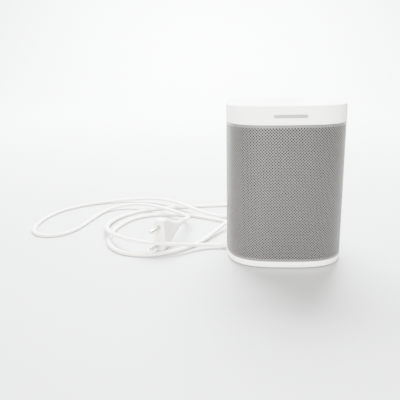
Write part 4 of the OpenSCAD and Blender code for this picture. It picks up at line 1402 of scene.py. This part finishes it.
@dataclass
class BaseRing:
    """The base ring with its recess, lead channel, foot and inlet plug."""

    shell: Shell
    recess: float = 44.0
    channel: float = 9.0
    foot_inset: float = 2.6
    foot_w: float = 10.9
    web_z: float = 4.6
    web_inset: float = 25.0
    collar: float = 3.4
    roof: float = 7.9
    screw_at: float = 33.0
    ridges: int = 3
    relief: float = 46.0

    def lead_gap(self, height: float) -> Mesh:
        """The cutter for the lead's way out to the left, up to a height."""
        gap = Mesh()
        gap.block((-80, -self.channel / 2, -1), (-18, self.channel / 2, height))
        return gap

    def ring(self) -> None:
        """The ring with its rolled lower edge, recess, channel and screw holes."""
        s, mesh = self.shell, Mesh()
        low = s.base_z
        web_z, far, crisp = self.web_z, self.web_inset, 28
        steps = [(6.6, self.roof), (6.0, 7.4), (6.0, web_z), (far, web_z), (far, low), (3.2, low),
                 (1.9, low + 0.12), (1.15, low + 0.42), (0.55, low + 0.95), (0.18, low + 1.6),
                 (0.03, low + 2.3), (0.0, low + 3.0), (0.0, 7.5), (0.06, 7.8), (0.3, 7.98)]
        rings = [s.ring(mesh, inset, z) for inset, z in steps]
        mesh.skin([*rings, rings[0]])
        ring = mesh.piece("base_shell", WHITE, Slot.SHELL, "base", sharp=crisp)
        web, r, wide, count = Mesh(), self.recess / 2, self.recess / 2 + self.collar, 96
        inner = web.level(circle(r, count), low)
        inner_top = web.level(circle(r, count), self.roof)
        collar_top = web.level(circle(wide, count), self.roof)
        collar = web.level(circle(wide, count), web_z)
        web_edge = s.ring(web, far - 0.1, web_z, count)
        web_low = s.ring(web, far - 0.1, low, count)
        web.skin([inner, web_low, web_edge, collar, collar_top, inner_top, inner])
        web.turn_over()
        plate = web.piece("base_web", WHITE, Slot.SHELL, "base", sharp=crisp)
        for made in (ring, plate):
            cut(made, self.lead_gap(7.0))
            for x in (-self.screw_at, self.screw_at):
                for y in (-self.screw_at, self.screw_at):
                    hole = Mesh()
                    profile = [(3.45, -1), (3.45, 3.5), (1.7, 3.5), (1.7, 12)]
                    hole.turned(profile, 32, Matrix.Translation((x, y, 0)))
                    cut(made, hole)
            made.data.set_sharp_from_angle(angle=math.radians(crisp))

    def foot(self) -> None:
        """The rubber foot: a ring with three low grip ridges and a gap for the lead."""
        s, mesh = self.shell, Mesh()
        inner, outer, top = self.foot_inset + self.foot_w, self.foot_inset, s.base_z
        steps = [(inner, top), (inner, 0.4), (inner - 0.3, 0.12), (inner - 0.6, 0.05)]
        for k in range(self.ridges):
            at = inner - 0.9 - 3.2 * k
            steps += [(at, 0.0), (at - 1.9, 0.0), (at - 2.2, 0.35), (at - 2.6, 0.35)]
        steps += [(outer + 0.4, 0.05), (outer + 0.1, 0.2), (outer, 0.5), (outer, top)]
        rings = [s.ring(mesh, inset, z, 200) for inset, z in steps]
        mesh.skin([*rings, rings[0]])
        made = mesh.piece("foot_ring", RUBBER, Slot.FOOT, "foot_pad", sharp=30)
        cut(made, self.lead_gap(3))
        made.data.set_sharp_from_angle(angle=math.radians(30))

    def inlet(self) -> None:
        """The round plug in the recess."""
        mesh = Mesh()
        mesh.turned([(2.0, 1.3), (8.0, 1.3), (8.4, 1.7), (9.4, 1.7), (9.8, 1.3), (20.4, 1.3), (21.0, 1.55),
                     (21.2, 2.1), (21.2, 7.2), (20.9, 7.7), (20.4, 7.8), (11.0, 7.8)], 96)
        mesh.block((-11, -6.5, 7.5), (11, 6.5, 20.4), 0.8)
        mesh.piece("inlet_plug_shell", WHITE, Slot.SHELL, "inlet_plug")

    def strain_relief(self) -> bpy.types.Object:
        """The strain relief in the channel.

        Returns:
            The strain relief, which is on the lead.
        """
        spot = Matrix.Translation((-20.0, 0, 3.4)) @ Matrix.Rotation(-math.pi / 2, 4, "Y")
        mesh = ribbed_relief(spot, self.relief, 3.3, 2.95, 5, 20.0)
        return mesh.piece("inlet_relief", VINYL, Slot.LEAD, "inlet_strain_relief", sharp=35)

    def build(self) -> list[bpy.types.Object]:
        """Makes the base's pieces.

        Returns:
            The pieces that are on the lead.
        """
        self.ring()
        self.foot()
        self.inlet()
        return [self.strain_relief()]


@dataclass
class BackStrip:
    """The plain strip down the back with the network socket and the bracket thread."""

    shell: Shell
    thick: float = 2.5
    network_z: float = 31.0
    thread_z: float = 100.0
    socket_front: float = 57.25
    socket_back: float = 34.6
    contacts: int = 8
    contact_pitch: float = 1.02
    insert_front: float = 57.35
    insert_l: float = 12.0
    insert_r: float = 4.95
    thread_r: float = 3.175
    thread_pitch: float = 1.27
    thread_depth: float = 0.42
    knurl: float = 0.12

    def strip(self) -> None:
        """The curved strip with its two openings."""
        s, mesh = self.shell, Mesh()
        half = s.strip / 2 - 0.2
        xs = [half * math.sin(math.radians(-90 + 180 * k / 36)) for k in range(37)]
        loop = [(x, s.face(x)) for x in xs] + [(x, s.face(x) - self.thick) for x in reversed(xs)]
        rings = [mesh.level(loop, z) for z in (s.grille_z + 0.02, s.cap_z - 0.02)]
        mesh.skin(rings)
        mesh.turn_over()
        mesh.plate([rings[0]], flip=True)
        mesh.plate([rings[1]])
        made = mesh.piece("back_strip", WHITE, Slot.SHELL, "rear_panel", sharp=30)
        window = Mesh()
        flat = [(x, z + self.network_z) for x, z in self.soft_square(16.8, 14.0, 1.6)]
        lines = [window.ring([(x, y, z) for x, z in flat]) for y in (70.0, 50.0)]
        window.skin(lines)
        window.cap(lines[0], flip=True)
        window.cap(lines[1])
        cut(made, window)
        hole = Mesh()
        place = Matrix.Translation((0, 0, self.thread_z)) @ Matrix.Rotation(-math.pi / 2, 4, "X")
        hole.turned([(5.2, 50.0), (5.2, 70.0)], 64, place)
        cut(made, hole)
        ease(made, 0.35, 3, 50)

    @staticmethod
    def soft_square(width: float, height: float, r: float) -> list[Flat]:
        """A rectangle with rounded corners.

        Args:
            width: its width.
            height: its height.
            r: the corners' radius.

        Returns:
            The points, anticlockwise.
        """
        points = []
        for (sx, sy), start in (((1, 1), 0), ((-1, 1), 90), ((-1, -1), 180), ((1, -1), 270)):
            for k in range(7):
                a = math.radians(start + 15 * k)
                points.append((sx * (width / 2 - r) + r * math.cos(a),
                               sy * (height / 2 - r) + r * math.sin(a)))
        return points

    def socket(self) -> None:
        """The network socket's body, its mouth and its sprung contacts."""
        mesh = Mesh()
        z, front = self.network_z, self.socket_front
        place = Matrix.Translation((0, 0, z)) @ Matrix.Rotation(-math.pi / 2, 4, "X")
        outer, mouth = self.soft_square(16, 13.6, 0.5), self.soft_square(11.8, 8.0, 0.3)

        def at(flat: Sequence[Flat], y: float) -> list[int]:
            """Adds an upright outline at a depth."""
            return mesh.ring([tuple(place @ Vector((u, -v, y))) for u, v in flat])

        rim = [(x * 0.985, y * 0.985) for x, y in outer]
        lip = [(x * 1.04, y * 1.05) for x, y in mouth]
        rings = [at(outer, self.socket_back), at(outer, front - 0.2), at(rim, front), at(lip, front),
                 at(mouth, front - 0.4), at(mouth, front - 12)]
        mesh.skin(rings)
        mesh.cap(rings[0], flip=True)
        mesh.cap(rings[-1])
        made = mesh.piece("network_socket_body", SOCKET, Slot.SOCKET, "network_socket")
        latch = Mesh()
        latch.block((-3, front - 11.5, z + 3.8), (3, front + 2, z + 5.6))
        cut(made, latch)
        wires = Mesh()
        path = [(front - 11.9, z - 3.9), (front - 3.0, z - 3.7), (front - 2.2, z - 3.3),
                (front - 2.6, z - 2.9), (front - 9.0, z - 1.0)]
        for k in range(self.contacts):
            x = self.contact_pitch * k - 3.57
            x0, x1 = x - 0.17, x + 0.17
            lines = [wires.ring([(x0, y, h), (x1, y, h), (x1, y, h + 0.22), (x0, y, h + 0.22)])
                     for y, h in path]
            wires.skin(lines)
            wires.faces += [tuple(reversed(lines[0])), tuple(lines[-1])]
        wires.piece("network_contacts", BRASS, Slot.CONTACT)

    def insert(self) -> None:
        """The knurled brass insert with its thread."""
        mesh = Mesh()
        place = (Matrix.Translation((0, self.insert_front, self.thread_z))
                 @ Matrix.Rotation(-math.pi / 2, 4, "X"))
        count, depth, rings = 96, self.insert_l, []

        def ring(radius: Callable[[int], float], y: float) -> None:
            """Adds one ring whose radius varies round it."""
            points = []
            for k in range(count):
                a = 2 * math.pi * k / count
                points.append(tuple(place @ Vector((radius(k) * math.cos(a), radius(k) * math.sin(a), y))))
            rings.append(mesh.ring(points))

        def knurled(k: int) -> float:
            """The knurl's radius at a step round the insert."""
            return self.insert_r - self.knurl * (k % 4 in (1, 2))

        ring(lambda k: self.insert_r, -depth)
        for y in (-depth + 0.4, -8.2):
            ring(knurled, y)
        for y in (-8.0, -7.2):
            ring(lambda k: 4.4, y)
        for y in (-7.0, -1.2):
            ring(knurled, y)
        for y, r in ((-1.0, 4.95), (-0.3, 4.95), (0.0, 4.7), (0.0, 3.6), (-0.5, 3.2)):
            ring(lambda k, r=r: r, y)
        steps, pitch = 60, self.thread_pitch
        for j in range(steps):
            y = -0.5 - (depth - 0.6) * (j + 1) / steps
            ring(lambda k, y=y: self.thread_r - self.thread_depth
                 * abs(2 * (((y / pitch) + k / count) % 1.0) - 1), y)
        mesh.skin([*rings, rings[0]])
        mesh.piece("bracket_insert_brass", BRASS, Slot.CONTACT, "bracket_insert", sharp=30)

    def build(self) -> None:
        """Makes the back's pieces."""
        self.strip()
        self.socket()
        self.insert()


@dataclass
class SoftParts:
    """Cloth, foam and the flexing rings of both drivers."""

    shell: Shell
    baffle: float = -43.95
    woofer_z: float = 58.0
    tweeter_z: float = 122.0
    cabinet: float = 114.3
    foam_wall: float = 3.15
    foam_t: float = 3.5
    foam_y: float = 4.4
    foam_d: float = 23.2
    foam_z: float = 78.3
    foam_h: float = 45.4
    foam_bump: float = 1.2

    def cloth(self) -> None:
        """The thin cloth stretched over the inside of the grille."""
        s, mesh, rings = self.shell, Mesh(), []
        count = 1440
        for inset in (0.92, 1.22):
            points = outline(s.width - 2 * inset, s.depth - 2 * inset, count)
            points = points[count // 4:] + points[:count // 4]
            points = [q for q in points if not (q[1] > 0 and abs(q[0]) < s.strip / 2 + 0.1)]
            rings.append(points)
        loop = rings[0] + list(reversed(rings[1]))
        low, high = (mesh.level(loop, z) for z in (s.grille_z + 0.1, s.cap_z - 0.1))
        mesh.skin([low, high])
        n = len(loop)
        for k in range(n // 2 - 1):
            mesh.faces.append((low[k], low[n - 1 - k], low[n - 2 - k], low[k + 1]))
            mesh.faces.append((high[k], high[k + 1], high[n - 2 - k], high[n - 1 - k]))
        around = sum(math.dist(a, b) for a, b in zip(rings[0], rings[0][1:]))
        made = mesh.piece("grille_scrim_cloth", SCRIM, Slot.CLOTH, "grille_cloth", sharp=60)

    def driver(self, height: float) -> Matrix:
        """From a driver's own frame, +Z to the front, to the row frame."""
        return Matrix.Translation((0, self.baffle, height)) @ Matrix.Rotation(math.pi / 2, 4, "X")

    def lathe(self, name: str, node: str, slot: Slot, loop: list[Flat], height: float,
              count: int = 144) -> None:
        """A ring turned about a driver's axis.

        Args:
            name: the piece's name.
            node: the CAD piece that it stands for.
            slot: its material slot.
            loop: its closed section as (radius, forward).
            height: the driver's height.
            count: steps round the axis.
        """
        mesh, place = Mesh(), self.driver(height)
        rings = [mesh.ring([tuple(place @ Vector((x, y, z))) for x, y in circle(r, count)])
                 for r, z in loop]
        mesh.skin([*rings, rings[0]])
        mesh.piece(name, SLOT_FINISH[slot], slot, node, sharp=50)

    def rings(self) -> None:
        """Both surrounds and the woofer's corrugated spider."""
        roll = [math.radians(7.5 * k) for k in range(25)]
        mid, wide, thin = 34.15, 2.8, 0.5
        inner = [(mid - wide * math.cos(a), 3 + wide * math.sin(a)) for a in roll]
        over = wide + thin
        outer = [(mid - over * math.cos(a), 3 + over * math.sin(a)) for a in reversed(roll)]
        lip = [(mid + wide, 2.42), (38.8, 2.42), (38.85, 2.5), (38.85, 2.84), (38.8, 2.9),
               (mid + over, 2.9)]
        self.lathe("surround_ring", "woofer_surround", Slot.SEAL, [(31.3, 2.5), *inner, *lip, *outer],
                   self.woofer_z)
        r0, r1, z, t = 13.6, 28.8, -14.1, 0.4
        steps = [k / 96 for k in range(97)]
        wave = [(r0 + (r1 - r0) * q, z - 0.9 + 0.9 * math.cos(2 * math.pi * 3 * q)) for q in steps]
        self.lathe("spider_ring", "woofer_spider", Slot.SPIDER,
                   wave + [(r, h + t) for r, h in reversed(wave)], self.woofer_z)
        roll = [math.radians(12 * k) for k in range(16)]
        inner = [(9.3 + 1.3 - 1.3 * math.cos(a), 1.3 * math.sin(a)) for a in roll]
        self.lathe("tweeter_roll", "tweeter_surround", Slot.DOME, [*inner, (11.9, -0.35), (9.3, -0.35)],
                   self.tweeter_z, 96)

    def foam(self) -> None:
        """The two damping pads, smooth on the wall side and convoluted on the other."""
        across, up = 24, 40
        half = self.cabinet / 2 - self.foam_wall
        heights = [self.foam_z + self.foam_h * j / up for j in range(up + 1)]
        for side, name in ((-1, "foam_left"), (1, "foam_right")):
            mesh, outer, inner = Mesh(), [], []
            for i in range(across + 1):
                y = self.foam_y + self.foam_d * i / across
                wall = half * (1 - (y / half) ** BODY_POWER) ** (1 / BODY_POWER)
                swell = self.foam_bump * math.sin(2 * math.pi * (y - self.foam_y) / 7.73)
                outer.append(mesh.ring([(side * wall, y, z) for z in heights]))
                bumps = []
                for z in heights:
                    lift = swell * math.sin(2 * math.pi * (z - self.foam_z) / 7.57)
                    bumps.append((side * (wall - self.foam_t - lift), y, z))
                inner.append(mesh.ring(bumps))
            mesh.skin(outer, closed=False)
            mesh.skin(list(reversed(inner)), closed=False)
            for a, a1, b, b1 in zip(outer, outer[1:], inner, inner[1:]):
                mesh.faces.append((a[0], a1[0], b1[0], b[0]))
                mesh.faces.append((a[-1], b[-1], b1[-1], a1[-1]))
            for j in range(up):
                mesh.faces.append((outer[0][j], inner[0][j], inner[0][j + 1], outer[0][j + 1]))
                mesh.faces.append((outer[-1][j], outer[-1][j + 1], inner[-1][j + 1], inner[-1][j]))
            if side < 0:
                mesh.turn_over()
            made = mesh.piece(name, FOAM, Slot.FOAM, "damping_foam", sharp=60)

    def build(self) -> None:
        """Makes the soft pieces."""
        self.cloth()
        self.rings()
        self.foam()


def dress_frame() -> None:
    """Gives every CAD piece that still shows its finish."""
    slots = {row["node"]: row["material_slot"] for row in frame["record"]["subparts"]}
    for name, node in frame["nodes"].items():
        finish = SLOT_FINISH[Slot(slots[name])]
        node.data.materials.clear()
        node.data.materials.append(finish.material())
        for polygon in node.data.polygons:
            polygon.material_index = 0


def main() -> None:
    """Builds the pieces in order."""
    Studio().build()
    lead, plug, shell = Lead(), MainsPlug(), Shell.measured()
    log.info("%s", shell)
    cord = lead.build()
    log.info("lead's centre line: %.4f m", lead.length())
    on_lead = plug.build()
    on_lead += BaseRing(shell).build()
    lead.declare(cord, on_lead)
    for part in (TopCap(shell), BackStrip(shell), Grille(shell), SoftParts(shell)):
        part.build()
    dress_frame()


if __name__ == "__main__":
    main()
